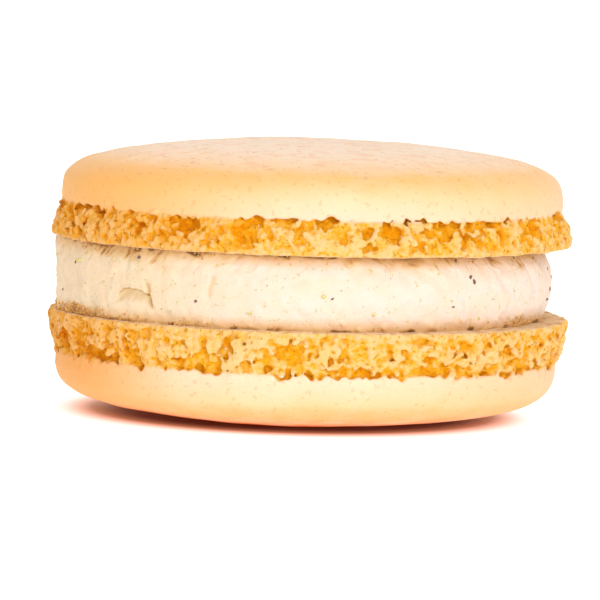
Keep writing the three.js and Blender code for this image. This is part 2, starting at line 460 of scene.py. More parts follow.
def nearest_blob(grid, blobs, warp):
    """The distance from the wall of the nearest blob. A blob is (angle, radius, height, half
    width, half depth, half height), and warp bends the space that the blobs lie in."""
    distance = np.full(grid.shape, NO_BLOB, np.float32)
    for angle, radius, height, half_width, half_depth, half_height in blobs:
        turns = int(BLOB_SPREAD * half_width / (TAU * FOOT_RADIUS / GRID_TURNS)) + BEND_STEPS
        steps = np.arange(-turns, turns + 1) + round(angle * GRID_TURNS / TAU)
        rings = np.flatnonzero(np.abs(grid.radius - radius) < BLOB_SPREAD * half_depth + BEND_ROOM)
        rows = np.flatnonzero(np.abs(grid.height - height) < BLOB_SPREAD * half_height + BEND_ROOM)
        pick = np.ix_(steps % GRID_TURNS, rings, rows)
        along = (steps * TAU / GRID_TURNS - angle)[:, None, None] * FOOT_RADIUS + warp[0][pick]
        inward = (grid.radius[rings] - radius)[None, :, None] + warp[1][pick]
        upward = (grid.height[rows] - height)[None, None, :] + warp[2][pick]
        reach = np.sqrt((along / half_width) ** 2 + (inward / half_depth) ** 2 + (upward / half_height) ** 2)
        distance[pick] = np.minimum(distance[pick], (reach - 1) * min(half_width, half_depth, half_height))
    return distance


still = [np.zeros(grid_for(TOP).shape, np.float32)] * 3
ball = nearest_blob(grid_for(TOP), [(0.0, FOOT_RADIUS, 2.0, 0.5, 0.5, 0.5)], still)
print("a ball of half width 0.5 mm takes up", int((ball < 0).sum()), "grid points")

# %% [markdown]
# ## What bursts and what bulges
# The largest bubbles burst right under the skin, where the foam rose most, and tear its edge.
# Small ones are spread over the whole wall. Between them the foam stands in rounded lumps. They
# could be placed by hand, but there are thousands. One draw for each equal slice of the ring
# leaves no gaps and no clumps.

# %% The plain wall


def skin_wave(shell, angle):
    """How far the skin's outline strays from round."""
    return SKIN_WOBBLE * round_wave(angle, shell.seed + 3, SKIN_WOBBLE_TURNS)


def wall_radius(shell, angle, height):
    """The radius of the shell's wall before anything is carved from it."""
    share = np.clip(height / (shell.foot - SKIN_THICKNESS), 0, 1)
    plain = FOOT_RADIUS - (FOOT_RADIUS - SKIN_RADIUS) * share**FOOT_FLARE_POWER
    foot_wave = FOOT_WOBBLE * round_wave(angle, shell.seed + 2)
    return plain + foot_wave * (1 - share) + skin_wave(shell, angle) * share


print("the top shell's wall halfway up:", round(float(wall_radius(TOP, 0.0, TOP.foot / 2)), 2), "mm")

# %% Bubbles
# How many go round the foot, their half widths, their depth as a share of that, and how near the
# flat face they come as a share of the foot's height.
LARGE_BUBBLES = dict(count=54, smallest=0.8, largest=1.6, depth=0.75, lowest=0.5)
MEDIUM_BUBBLES = dict(count=130, smallest=0.35, largest=0.8, depth=0.8, lowest=0.2)
SMALL_BUBBLES = dict(count=420, smallest=0.22, largest=0.46, depth=1.0, lowest=0.28)
PIN_BUBBLES = dict(count=1100, smallest=0.14, largest=0.28, depth=1.3, lowest=0.08)
BUBBLE_FLATNESS = 0.7  # a bubble's height over its width
BUBBLE_SIZE_BIAS = 1.5  # above 1, most bubbles are near the smallest size


def bubbles_of(shell, seed, count, smallest, largest, depth, lowest):
    """Bubbles spread evenly round the foot, centred on its wall."""
    draw = chance(seed)
    bubbles = []
    for i in range(count):
        angle = (i + next(draw)) / count * TAU
        size = smallest + (largest - smallest) * next(draw) ** BUBBLE_SIZE_BIAS
        height = shell.foot * (lowest + (1 - lowest) * math.sqrt(next(draw)))
        radius = float(wall_radius(shell, angle, height))
        bubbles.append((angle, radius, height, size, size * depth, size * BUBBLE_FLATNESS))
    return bubbles


print("the first bubble:", [round(value, 2) for value in bubbles_of(TOP, TOP.seed, **LARGE_BUBBLES)[0]])

# %% Lumps
LUMP_COUNT = 1700
LUMP_SIZES = (0.18, 0.48)
LUMPS_FROM = 0.8  # the lowest ones' height, above the calm rim
LUMPS_BELOW = 0.4  # how far below the skin's edge the highest ones are
LUMP_SINK = (0.8, 1.7)  # how far a lump's middle lies inside the wall, over its size


def between(limits, share):
    """The value that lies at that share of the way between two limits."""
    return limits[0] + (limits[1] - limits[0]) * share


def lumps_of(shell, seed):
    """Rounded lumps all over the foot's wall, half sunk in it."""
    draw = chance(seed)
    lumps = []
    for i in range(LUMP_COUNT):
        angle = (i + next(draw)) / LUMP_COUNT * TAU
        size = between(LUMP_SIZES, next(draw))
        height = between((LUMPS_FROM, shell.foot - LUMPS_BELOW), next(draw))
        sink = between(LUMP_SINK, next(draw))
        radius = float(wall_radius(shell, angle, height)) - size * sink
        lumps.append((angle, radius, height, size, size, size))
    return lumps


print("the first lump:", [round(value, 2) for value in lumps_of(TOP, TOP.seed)[0]])

# %% [markdown]
# ## The foam's body
# The foam is built up in the order in which it forms. An uneven wall bulges into lumps, bubbles
# burst in it, fine pores roughen what is left, and the hollows end in crumb. Where two shapes
# meet, the crease between them is rounded, because wet foam has no sharp edges. Cutting bubbles
# out of a mesh with Boolean modifiers would leave knife-sharp rims.

# %% The wall between its bubbles
DIPS = ((1.4, 0.3), (0.6, 0.18))  # size and depth of the dips all over the wall
DIP_MEAN = 0.28  # how far inside the wall the foam lies between its lumps
CALM_RIM = (0.3, 1.3)  # heights between which the dips grow to their full depth
DIPS_AT_RIM = 0.25  # share of their depth that they have at the rim
GROOVE = 0.16  # how much further in the foam lies right under the skin, at most
GROOVE_BAND = (1.1, 0.3)  # how far under the skin's edge the groove begins, and is full
GROOVE_SIZE = 1.6


def sponge(shell, grid, wall, height):
    """The foam before any bubble bursts: an uneven wall, less so at the rim."""
    calm = DIPS_AT_RIM + (1 - DIPS_AT_RIM) * smooth_step(height, *CALM_RIM)
    under_skin = smooth_step(height, shell.foot - GROOVE_BAND[0], shell.foot - GROOVE_BAND[1])
    groove = GROOVE * under_skin * (0.5 + grid_noise(grid, GROOVE_SIZE, shell.seed + 50))
    return wall + calm * (DIP_MEAN + layers(grid, DIPS, shell.seed + 51)) + groove


print("the foam lies", DIP_MEAN, "mm inside the wall between its lumps")

# %% Burst and worn foam
BENDS = ((1.3, 0.5), (0.6, 0.24), (0.36, 0.14))  # size and reach of what bends bubbles out of round
LUMP_BENDS = ((0.7, 0.12), (0.34, 0.12))
PORES = ((0.6, 0.16), (0.32, 0.2), (0.22, 0.12))  # size and depth of the relief all over the foam
CRUMB = ((0.5, 0.3), (0.26, 0.2))  # size and height of the crumb that hollows end in
STANDS_OUT = 0.12  # how far outside the wall the foam reaches, at most
WORN = ((0.5, 0.16), (0.26, 0.1))  # size and depth of the relief where it reaches that far
CEILING = 0.45  # how far above the foot hollows reach up behind the skin
SOLID_CORE = 0.3  # how far outside the grid's inner side nothing is carved
# Over how many mm each part is rounded off where it meets what was there before it.
ROUNDED = dict(lumps=0.15, hollows=0.15, outside=0.12, crumb=0.1, skin=0.05, rim=RIM_ROUNDING)


def burst(shell, grid, bend, large):
    """The distance from the nearest burst bubble of any size."""
    kinds = (MEDIUM_BUBBLES, shell.seed + 1), (SMALL_BUBBLES, shell.seed + 21), (PIN_BUBBLES, shell.seed + 22)
    for kind, seed in kinds:
        large = np.minimum(large, nearest_blob(grid, bubbles_of(shell, seed, **kind), bend))
    return large


def bare_foam(shell, grid, bend, large):
    """The foam without its skin."""
    angle, radius, height = grid.axes
    wall = (radius - wall_radius(shell, angle, height)).astype(np.float32)
    lump_bend = [layers(grid, LUMP_BENDS, shell.seed + 75 + axis) for axis in range(3)]
    lumps = nearest_blob(grid, lumps_of(shell, shell.seed + 20), lump_bend)
    foam = smooth_min(sponge(shell, grid, wall, height), lumps, ROUNDED["lumps"])
    hollows = np.maximum(burst(shell, grid, bend, large), height - shell.foot - CEILING)
    foam = smooth_max(foam, -hollows, ROUNDED["hollows"]) + layers(grid, PORES, shell.seed + 90)
    worn = wall - STANDS_OUT + layers(grid, WORN, shell.seed + 97)
    foam = smooth_max(foam, worn, ROUNDED["outside"])
    crumb = wall + shell.hollow + layers(grid, CRUMB, shell.seed + 95)
    foam = smooth_min(foam, crumb, ROUNDED["crumb"])
    return np.minimum(foam, radius - grid.radius[0] - SOLID_CORE)


print("hollows end", TOP.hollow, "mm inside the upper wall and", BOTTOM.hollow, "mm inside the lower")

# %% [markdown]
# ## The torn skin
# The skin is a thin sheet that hangs a little way down over the foam. Where a large bubble burst
# right under it the skin tore back round the bubble, and between the bubbles its edge is jagged.
# A sheet of its own with a jagged rim could be laid over the foam. As a part of the same field it
# tears just where the bubbles are, and grows into the foam without a seam.

# %% The skin's lower end
TEETH = ((0.9, 0.17), (0.4, 0.24), (0.25, 0.15))  # size and height of the jags in the torn edge
TEAR = 0.6  # how far inside a burst bubble's wall the skin tears
TEAR_REACH = 0.1  # and how far above the skin's own edge it may
LIP = 0.45  # thickness of the skin where it hangs free


def torn_edge(shell, grid):
    """How high the skin's torn edge is, round the shell."""
    slow = TORN_EDGE_WOBBLE * round_wave(grid.axes[0], shell.seed + 4)
    return shell.foot - SKIN_THICKNESS + slow + layers(grid, TEETH, shell.seed + 40)[:, :1, :1]


def hanging_skin(shell, grid, skin_wall, large):
    """The sheet of skin down to its torn edge."""
    _, radius, height = grid.axes
    edge = torn_edge(shell, grid)
    skin = np.maximum(radius - skin_wall, edge - height)
    skin = np.maximum(skin, np.minimum(-(large + TEAR), edge + TEAR_REACH - height))
    return np.maximum(skin, skin_wall - LIP - radius)


print("the skin is", LIP, "mm thick where it hangs free")

# %% [markdown]
# ## The whole field
# Foam and skin are joined, and the flat face is cut a little unevenly. Walls between two hollows
# can come out thinner than the grid can draw, and would break up into shreds. So the field is
# evened out by its mean over the nearest points, which rounds such walls off or opens them.

# %% The shell's field
PLAIN_SKIN = (0.15, 0.4)  # heights above the ceiling between which plain skin takes over
FACE_DIPS = (0.6, 0.05)  # size and depth of the dips in the flat face
SOFTNESS = 0.7  # how much the field is evened out


def spread_out(field, reach):
    """The mean of the field over a small box round each grid point."""
    for axis in range(3):
        margin = [(reach, reach) if a == axis else (0, 0) for a in range(3)]
        wide = np.pad(field, margin, "edge" if axis else "wrap")
        count = field.shape[axis]
        field = sum(wide.take(range(step, step + count), axis) for step in range(2 * reach + 1))
        field = field / (2 * reach + 1)
    return field


def shell_field(shell, grid):
    """Negative in the biscuit and positive in the air, in about millimetres."""
    angle, radius, height = grid.axes
    bend = [layers(grid, BENDS, shell.seed + 60 + 5 * axis) for axis in range(3)]
    large = nearest_blob(grid, bubbles_of(shell, shell.seed, **LARGE_BUBBLES), bend)
    skin_wall = wall_radius(shell, angle, shell.foot)
    skin = hanging_skin(shell, grid, skin_wall, large)
    body = smooth_min(bare_foam(shell, grid, bend, large), skin, ROUNDED["skin"])
    plain = smooth_step(height, *(shell.foot + CEILING + above for above in PLAIN_SKIN))
    body = body * (1 - plain) + (radius - skin_wall) * plain
    size, depth = FACE_DIPS
    face = depth * (1 + grid_noise(grid, size, shell.seed + 80)) - height
    body = smooth_max(body, face, ROUNDED["rim"])
    return (body + SOFTNESS * (spread_out(body, 1) - body)).astype(np.float32)


print("the mean of 0, 0 and 3 in a row:", spread_out(np.array([[[0.0, 0.0, 3.0]]]), 1)[0, 0, 1])

# %% [markdown]
# ## From field to faces
# A surface net puts one point in each grid cell that the surface passes through, at the mean of
# where it crosses the cell's edges, and joins the points of neighbouring cells by quads. It gives
# rounder foam from fewer faces than marching cubes does.

# %% Surface net


def surface_net(field):
    """Points in grid steps, and quads, of the surface where the field is nought."""
    turns, rings, rows = field.shape
    cells = (turns, rings - 1, rows - 1)
    total = np.zeros((*cells, 3), np.float32)
    hits = np.zeros(cells, np.int32)
    edges = []
    for axis in range(3):
        ahead = np.roll(field, -1, axis)
        if axis:
            keep = tuple(slice(0, -1) if a == axis else slice(None) for a in range(3))
            here, ahead = field[keep], ahead[keep]
        else:
            here = field
        crosses = (here < 0) != (ahead < 0)
        part = np.where(crosses, here / np.where(crosses, here - ahead, 1), 0)
        edges.append((crosses, here < 0))
        one, two = [a for a in range(3) if a != axis]
        for step_one in (0, 1):
            for step_two in (0, 1):
                steps = {axis: 0, one: step_one, two: step_two}
                shift = tuple(slice(steps[a], steps[a] + cells[a]) for a in (1, 2))
                there = np.roll(crosses, -steps[0], 0)[(slice(None), *shift)]
                share = np.roll(part, -steps[0], 0)[(slice(None), *shift)]
                hits += there
                for a in range(3):
                    total[..., a] += share if a == axis else there * steps[a]
    used = hits > 0
    index = np.full(cells, -1)
    index[used] = np.arange(used.sum())
    corner = np.stack(np.meshgrid(*[np.arange(n) for n in cells], indexing="ij"), -1)[used]
    points = corner + total[used] / hits[used][:, None]
    return points, np.concatenate([net_quads(index, *edges[axis], axis) for axis in range(3)])


def net_quads(index, crosses, inside, axis):
    """The quads round the grid edges along one axis that the surface crosses."""
    order = ((0, 0), (1, 0), (1, 1), (0, 1))
    first, second = (axis + 1) % 3, (axis + 2) % 3
    corners = []
    for pair in order:
        steps = {first: pair[0], second: pair[1]}
        picked = np.roll(index, 1 - steps[0], 0) if 0 in steps else index
        for a in (1, 2):
            if a in steps:
                picked = picked.take(range(steps[a], steps[a] + index.shape[a] - 1), a)
        corners.append(picked)
    inner = tuple(slice(1, -1) if a in (first, second) and a else slice(None) for a in range(3))
    crosses, inside = crosses[inner], inside[inner]
    quads = np.stack([corner[crosses] for corner in corners], -1)
    forward = inside[crosses]
    quads[forward] = quads[forward][:, ::-1]
    return quads


ball = np.linalg.norm(np.indices((12, 12, 12)) - 5.5, axis=0) - 4
print("the net of a ball four steps in radius has", len(surface_net(ball)[1]), "quads")

# %% Loose crumbs


def largest_piece(points, quads):
    """Leaves out crumbs that hang in the air: faces that aren't joined to the most others."""
    label = np.arange(len(points))
    while True:
        before = label.copy()
        lowest = label[quads].min(1)
        np.minimum.at(label, quads.ravel(), np.repeat(lowest, 4))
        label = label[label]
        if (label == before).all():
            break
    main = np.bincount(label[quads[:, 0]]).argmax()
    quads = quads[label[quads[:, 0]] == main]
    kept = np.unique(quads)
    renumber = np.zeros(len(points), int)
    renumber[kept] = np.arange(len(kept))
    return points[kept], renumber[quads]


two_pieces = np.array([[0, 1, 2, 3], [2, 3, 4, 5], [6, 7, 8, 9]])
print("of three faces", len(largest_piece(np.zeros((10, 3)), two_pieces)[1]), "hang together")

# %% [markdown]
# ## Skin over the dome
# The grid stops a little above the torn edge and a little inside the rim, which leaves two open
# loops. Rings of points carry on from them: over the shoulder to the crown, and across the flat
# face to its middle. Rings can have fewer points than their neighbours, because they are sewn
# together by angle. Bridging edge loops in Edit Mode does the same for two loops at a time.

# %% Sewing rings


def open_loops(quads):
    """The loops of open edges, each as point numbers in the order that the faces go round."""
    start, end = quads.ravel(), np.roll(quads, -1, 1).ravel()
    size = quads.max() + 1
    single = ~np.isin(start * size + end, end * size + start)
    following = dict(zip(start[single].tolist(), end[single].tolist()))
    loops = []
    while following:
        loop = [next(iter(following))]
        while loop[-1] in following:
            loop.append(following.pop(loop[-1]))
        loops.append(loop[:-1])
    return loops


def sew(one, other, angles):
    """Triangles between two loops that run the same way round, each a list of point numbers.
    The faces behind the first loop go round in its order."""
    way = 1 if math.sin(angles[one[1]] - angles[one[0]]) > 0 else -1
    travel = []
    for loop in (one, other):
        gone = [0.0]
        for here, there in zip(loop, loop[1:] + loop[:1]):
            step = (angles[there] - angles[here] + math.pi) % TAU - math.pi
            gone.append(gone[-1] + way * step)
        travel.append(gone)
    lead = way * ((angles[other[0]] - angles[one[0]] + math.pi) % TAU - math.pi)
    a, b, faces = 0, 0, []
    while a < len(one) or b < len(other):
        from_one, from_other = one[a % len(one)], other[b % len(other)]
        if b == len(other) or (a < len(one) and travel[0][a + 1] <= travel[1][b + 1] + lead):
            faces.append((one[(a + 1) % len(one)], from_one, from_other))
            a += 1
        else:
            faces.append((from_one, from_other, other[(b + 1) % len(other)]))
            b += 1
    return faces


ring_angles = [TAU * i / 8 for i in range(8)] + [TAU * i / 4 for i in range(4)]
between_rings = sew(list(range(8)), list(range(8, 12)), ring_angles)
print("rings of 8 and 4 points are sewn with", len(between_rings), "triangles")

# %% The dome's outline
SHOULDER_STEP = 0.3  # between rings
CROWN_STEP = 0.5
SHOULDER_REACH = 6.5  # how far along the skin the shoulder's rings go
SHOULDER_POINTS = 512  # in each ring of the shoulder, and half as many in those of the crown


def dome_profile(shell, count=4000):
    """Radius and height along the skin from its edge to the rim of the crown's flat spot."""
    share = np.cos(np.linspace(0, math.pi / 2, count)) ** (2 / shell.across)
    rise = (1 - share**shell.across) ** (1 / shell.up)
    lift = (1 - shell.fall) * rise + shell.fall * (1 - share**FALL_POWER)
    return SKIN_RADIUS * (CROWN_FLAT + (1 - CROWN_FLAT) * share), shell.foot + shell.dome * lift


def dome_rings(shell, bottom):
    """Radius, height and number of points of each ring from bottom to the crown."""
    radius, height = dome_profile(shell)
    keep = height > bottom
    radius, height = radius[keep], height[keep]
    travel = np.concatenate([[0], np.cumsum(np.hypot(np.diff(radius), np.diff(height)))])
    shoulder = np.arange(0, SHOULDER_REACH, SHOULDER_STEP)
    crown = np.arange(SHOULDER_REACH, travel[-1], CROWN_STEP)
    rings = []
    for place in (*shoulder, *crown, travel[-1]):
        count = SHOULDER_POINTS if place < SHOULDER_REACH else SHOULDER_POINTS // 2
        rings.append((np.interp(place, travel, radius), np.interp(place, travel, height), count))
    return rings


print("rings over the upper dome:", len(dome_rings(TOP, TOP.foot + SKIN_IN_GRID)))

# %% Uneven skin
SKIN_DENTS = ((9.0, 0.05), (4.0, 0.035), (1.5, 0.022))  # size and depth of what the skin is uneven by
WAVE_LENGTHS = (0.8, 1.6)  # how much the lengths of the waves in a soft random field differ


def ripples(points, size, seed, count=24):
    """A soft random field over any points, with lumps of about that size, from -1 to 1. It is
    many plain waves on top of each other, which run in all ways and differ in length."""
    rng = np.random.default_rng(seed)
    ways = rng.normal(size=(count, 3))
    ways /= np.linalg.norm(ways, axis=1)[:, None]
    lengths = 2 * size * rng.uniform(*WAVE_LENGTHS, count)
    phases = rng.uniform(0, TAU, count)
    waves = np.sin(points @ (ways * TAU / lengths[:, None]).T + phases)
    return waves.sum(-1) / math.sqrt(count)


def dent(points, seed):
    """How far the skin stands out at each point."""
    return sum(depth * ripples(points, size, seed + i) for i, (size, depth) in enumerate(SKIN_DENTS))


print("at the crown's middle the skin stands out", dent(np.zeros((1, 3)), TOP.seed).round(3)[0], "mm")

# %% [markdown]
# ## One shell
# The net and the rings become one closed mesh, which is then thinned: the net has a point every
# tenth of a millimetre, also where the foam is nearly flat. Collapsing the shortest and flattest
# edges keeps the shape at a fraction of the triangles.

# %% A mesh from rings


class Builder:
    """Collects the points and faces of one mesh, in mm."""

    def __init__(self, points, faces):
        self.points = list(map(tuple, points))
        self.faces = list(map(tuple, faces))

    def ring(self, radius, height, count, way, wave=None):
        """Adds a ring of points, which goes round by way, and gives their numbers."""
        angles = way * np.arange(count) * TAU / count
        first = len(self.points)
        around = np.full(count, radius) + (0 if wave is None else wave(angles))
        for angle, reach in zip(angles, around):
            self.points.append((reach * math.cos(angle), reach * math.sin(angle), height))
        return list(range(first, first + count))

    def cover(self, loop, rings, way, end, wave=None):
        """Sews rings of (radius, height, count) to a loop, and closes the last at height end."""
        for radius, height, count in rings:
            ring = self.ring(radius, height, count, way, wave)
            angles = {i: math.atan2(self.points[i][1], self.points[i][0]) for i in loop + ring}
            self.faces += sew(loop, ring, angles)
            loop = ring
        self.points.append((0.0, 0.0, end))
        for here, there in zip(loop, loop[1:] + loop[:1]):
            self.faces.append((there, here, len(self.points) - 1))


def from_start(loop, points):
    """The loop's numbers, from the one nearest to angle nought."""
    angles = [abs(math.atan2(points[i][1], points[i][0])) for i in loop]
    first = angles.index(min(angles))
    return loop[first:] + loop[:first]


disc = Builder([], [])
disc.cover(disc.ring(2.0, 0.0, 12, 1), [(1.0, 0.0, 6)], 1, 0.0)
print("a disc of rings of 12 and 6 points has", len(disc.faces), "faces")

# %% A whole shell in points and faces
FACE_RINGS = ((18.0, 256), (11.0, 128), (4.0, 64))  # radius and number of points, on the flat face


def shell_points(shell, grid, field):
    """The points and faces of a shell, crown up with its flat face at height nought."""
    steps, quads = largest_piece(*surface_net(field))
    angle = steps[:, 0] * TAU / GRID_TURNS
    radius = grid.radius[0] + steps[:, 1] * GRID_STEP
    height = grid.height[0] + steps[:, 2] * GRID_STEP
    points = np.stack([radius * np.cos(angle), radius * np.sin(angle), height], -1)
    mesh = Builder(points, quads)
    loops = sorted(open_loops(quads), key=len, reverse=True)[:2]
    loops.sort(key=lambda loop: height[loop].mean())
    face_loop, skin_loop = (from_start(loop, mesh.points) for loop in loops)
    way = 1 if math.sin(angle[skin_loop[1]] - angle[skin_loop[0]]) > 0 else -1
    dome = dome_rings(shell, height[skin_loop].max() + GRID_STEP)
    mesh.cover(skin_loop, dome, way, shell.foot + shell.dome, lambda angles: skin_wave(shell, angles))
    face = [(ring_radius, 0.0, count) for ring_radius, count in FACE_RINGS]
    mesh.cover(face_loop, face, -way, 0.0)
    return mesh.points, mesh.faces


print("rings over a flat face:", len(FACE_RINGS))

# %% Meshes in and out of Blender
SHELL_TRIANGLES = 190_000


def mesh_of(name, points, faces):
    """A mesh from points in mm, in the macaron's frame."""
    mesh = bpy.data.meshes.new(name)
    mesh.from_pydata((np.asarray(points) * MM).tolist(), [], faces)
    return mesh


def points_of(mesh):
    """A mesh's points in mm."""
    flat = np.empty(3 * len(mesh.vertices), np.float32)
    mesh.vertices.foreach_get("co", flat)
    return flat.reshape(-1, 3) / MM


def normals_of(mesh):
    """The way that a mesh faces at each of its points."""
    mesh.update()
    flat = np.empty(3 * len(mesh.vertices), np.float32)
    mesh.vertex_normals.foreach_get("vector", flat)
    return flat.reshape(-1, 3)


def store(mesh, **named):
    """Keeps values at each point of the mesh, for its material to read."""
    for name, values in named.items():
        mesh.attributes.new(name, "FLOAT", "POINT").data.foreach_set("value", values.astype(np.float32))


def triangles_of(mesh):
    """How many triangles a mesh's faces come to."""
    return sum(len(face.vertices) - 2 for face in mesh.polygons)


def thinned(mesh, wanted):
    """The mesh with its shortest and flattest edges collapsed, until it has so many triangles."""
    carrier = link(bpy.data.objects.new("carrier", mesh))
    modifier = carrier.modifiers.new("thin", "DECIMATE")
    modifier.ratio = min(1, wanted / triangles_of(mesh))
    evaluated = carrier.evaluated_get(bpy.context.evaluated_depsgraph_get())
    thin = bpy.data.meshes.new_from_object(evaluated)
    thin.name = mesh.name
    bpy.data.objects.remove(carrier)
    print(mesh.name, "thinned from", triangles_of(mesh), "to", triangles_of(thin), "triangles")
    return thin


print("a shell may have", SHELL_TRIANGLES, "triangles")

# %% [markdown]
# ## What the oven did where, and painted shade
# Values are stored at each point for the material: how much of it is skin, how far up the dome it
# is, and how much moisture the foam kept in the oven, with painted shade added in. Foam dries pale
# where it stands out and stays dark in hollows and creases, partly its own colour and partly
# painted shade; undersides get painted shade only. The field already knows a crest from a crease:
# near a crest there is more air than biscuit. The colours could be painted point by point in
# Vertex Paint, but values that say why a spot is dark can be coloured anew without painting again.

# %% Crests, depth and skin
CREST_REACH = 3  # grid steps over which crests are told from creases
CREST_LIMIT = 2  # where the value for crests and creases ends
# Moisture and painted shade: depth and crest darken hollows and creases, partly as the foam's own colour and
# partly as painted shade, and under is painted shade on undersides.
MOISTURE_AND_SHADE = dict(depth=0.58, crest=0.075, under=0.2)  # how much each counts for
DEPTH_OVER_HEIGHT = 0.6  # near the flat face a point counts as no deeper than this much of its height
DEPTH_ENDS = 0.3  # how far above the hollows' ceiling depth stops counting
SKIN_FROM = (0.45, 0.1)  # how far under the foot's top a point begins to be skin, and is all skin
SKIN_EDGE = (0.08, 0.2)  # depths between which the skin gives way to foam
UNDERSIDE_SHADE = (0.15, 0.8)  # how much a point faces down, from not to fully an underside
UNDERSIDE_SHADE_DEPTH = (0.1, 0.4)  # depths between which undersides begin to count
FACE_EDGE = (0.04, 0.16)  # heights between which the flat face gives way to the foot


def crests(grid, field, angle, radius, height):
    """How far each point stands out from its surroundings, about from -2 in a crease to 2."""
    steps = (
        np.round(angle * GRID_TURNS / TAU).astype(int) % GRID_TURNS,
        np.clip(np.round((radius - grid.radius[0]) / GRID_STEP).astype(int), 0, len(grid.radius) - 1),
        np.clip(np.round((height - grid.height[0]) / GRID_STEP).astype(int), 0, len(grid.height) - 1),
    )
    out = (spread_out(field, CREST_REACH) - field)[steps]
    return np.clip((out - np.median(out)) / out.std(), -CREST_LIMIT, CREST_LIMIT)


def store_bake(shell, grid, field, points, mesh):
    """Stores what the oven did, and where shade is painted, at each point, given its place before the shell
    was set down.
    """
    angle = np.arctan2(points[:, 1], points[:, 0])
    radius = np.hypot(points[:, 0], points[:, 1])
    height = points[:, 2]
    depth = np.minimum(wall_radius(shell, angle, height) - radius, DEPTH_OVER_HEIGHT * height)
    depth *= height < shell.foot + CEILING + DEPTH_ENDS
    skin = smooth_step(height, shell.foot - SKIN_FROM[0], shell.foot - SKIN_FROM[1])
    skin = skin * (1 - smooth_step(depth, *SKIN_EDGE))
    # Painted shade on the foam's undersides.
    under = smooth_step(-normals_of(mesh)[:, 2], *UNDERSIDE_SHADE) * smooth_step(depth, *UNDERSIDE_SHADE_DEPTH)
    crest = crests(grid, field, angle, radius, height)
    moist = MOISTURE_AND_SHADE["depth"] * (depth - shell.paler) - MOISTURE_AND_SHADE["crest"] * crest + MOISTURE_AND_SHADE["under"] * under
    above = (height - shell.foot) / shell.dome
    store(mesh, moist=moist, above=above, skin=skin, face=1 - smooth_step(height, *FACE_EDGE))
    print(shell.name, "foam: moist from", moist.min().round(2), "to", moist.max().round(2))


print("moisture counts", MOISTURE_AND_SHADE)

# %% Two finished shells
DENTS_FULL = 2.2  # height above the foot at which the skin has its whole unevenness
UPWARD = 8  # how fast the dents turn from outward to upward as the dome rises
LEAN_HEIGHT = 7.0  # the height above the flat face at which a dome has its whole lean
TINY = 1e-9  # keeps the length that a direction is divided by above nought


def set_down(shell, points):
    """The points in the macaron, with the skin's dents and the dome's lean."""
    height = points[:, 2]
    outward = np.stack([points[:, 0], points[:, 1], UPWARD * np.maximum(height - shell.foot, 0)], -1)
    outward /= np.linalg.norm(outward, axis=1)[:, None] + TINY
    rise = smooth_step(height, shell.foot + SKIN_IN_GRID, shell.foot + DENTS_FULL)
    placed = points + outward * (rise * dent(points, shell.seed + 30))[:, None]
    placed[:, 2] = np.minimum(placed[:, 2], shell.foot + shell.dome)
    placed[:, 0] += shell.lean * smooth_step(height, 0, LEAN_HEIGHT)
    if shell.turned_over:
        placed = placed * (1, -1, -1)
    placed[:, 2] += shell.face
    return placed


def shell_piece(shell):
    """The finished shell as an object in its place, with what its material reads."""
    grid = grid_for(shell)
    field = shell_field(shell, grid)
    mesh = thinned(mesh_of(shell.name, *shell_points(shell, grid, field)), SHELL_TRIANGLES)
    points = points_of(mesh)
    mesh.vertices.foreach_set("co", (set_down(shell, points) * MM).astype(np.float32).ravel())
    store_bake(shell, grid, field, points, mesh)
    mesh.shade_smooth()
    return link(bpy.data.objects.new(shell.name, mesh))


shells = [shell_piece(shell) for shell in (TOP, BOTTOM)]

# %% [markdown]
# ## Buttercream
# The cream was piped a little to one side and pressed until it bulged. It clings to both shells,
# so its side draws in towards them, and the shells have dragged it: short slanting pulls under
# the upper one, and small squeezed folds over the lower one. It is one grid of points, turn by
# row, whose radius is a sum of such marks. Sculpting would do it too, but can't be repeated.

# %% Cream dimensions, in millimetres
CREAM_RADIUS = 21.5  # at its fullest
CREAM_SHIFT = -0.62  # how far to one side it was piped, along X
CREAM_THICKNESS = TOP_FACE - BOTTOM_FACE
CREAM_TOP_RECESS = 0.6  # how far it draws in under the top shell
CREAM_BOTTOM_RECESS = 0.5  # and over the bottom shell
RECESS_LEAN = 0.75  # how much more it draws in on the side it was piped away from
RECESS_POWER = 2.4  # how late it draws in
CREAM_WOBBLE = 0.14  # how far its side strays from round
CREAM_SEEDS = dict(wobble=47, waves=73, patches=91, crumbs=83, crumb_shapes=84)
CREAM_WAVES = ((3.2, 0.1), (1.3, 0.08), (0.55, 0.04))  # size and depth of its soft unevenness
CREAM_GRIP = 0.1  # how far the cream reaches into the pores of both flat faces


def turned_from(angle, azimuth):
    """How far round the cream a point lies from an azimuth in degrees, in mm."""
    return ((angle - math.radians(azimuth) + math.pi) % TAU - math.pi) * CREAM_RADIUS


print("cream", round(CREAM_THICKNESS, 2), "mm thick")

# %% The scoop
SCOOP = dict(azimuth=228.4, share=0.345, half_width=1.9, height=1.15, depth=0.34)
LIP_ARCH = dict(top=0.62, drop=0.75, middle=-0.15, curl=0.3)  # mm above the scoop's middle
LIP_CURL = (0.5, 1.0)  # how far across the lip curls up again
LIP_WAVES = ((6, 0.06, 5.1), (17, 0.03, 0.0))  # how fast, how high and from where the lip wavers
LIP_RIDGE = dict(above=0.15, width=0.13, height=0.08)  # the cream that the knife pushed up
LIP_LINE = (-0.02, 0.09)  # where rubbed biscuit and a painted shadow follow the lip, below its top, and its half width
SCOOP_TOP = (-0.06, 0.16)  # how far below the lip it goes in, from its top to its full depth
SCOOP_FOOT = 0.3  # and from where it comes out again
LEFT_END, RIGHT_END = (-1.15, -0.8), (0.85, 1.0)  # how far across its ends lie
RAGGED = (0.12, 5)  # how far the left end wavers, and how fast


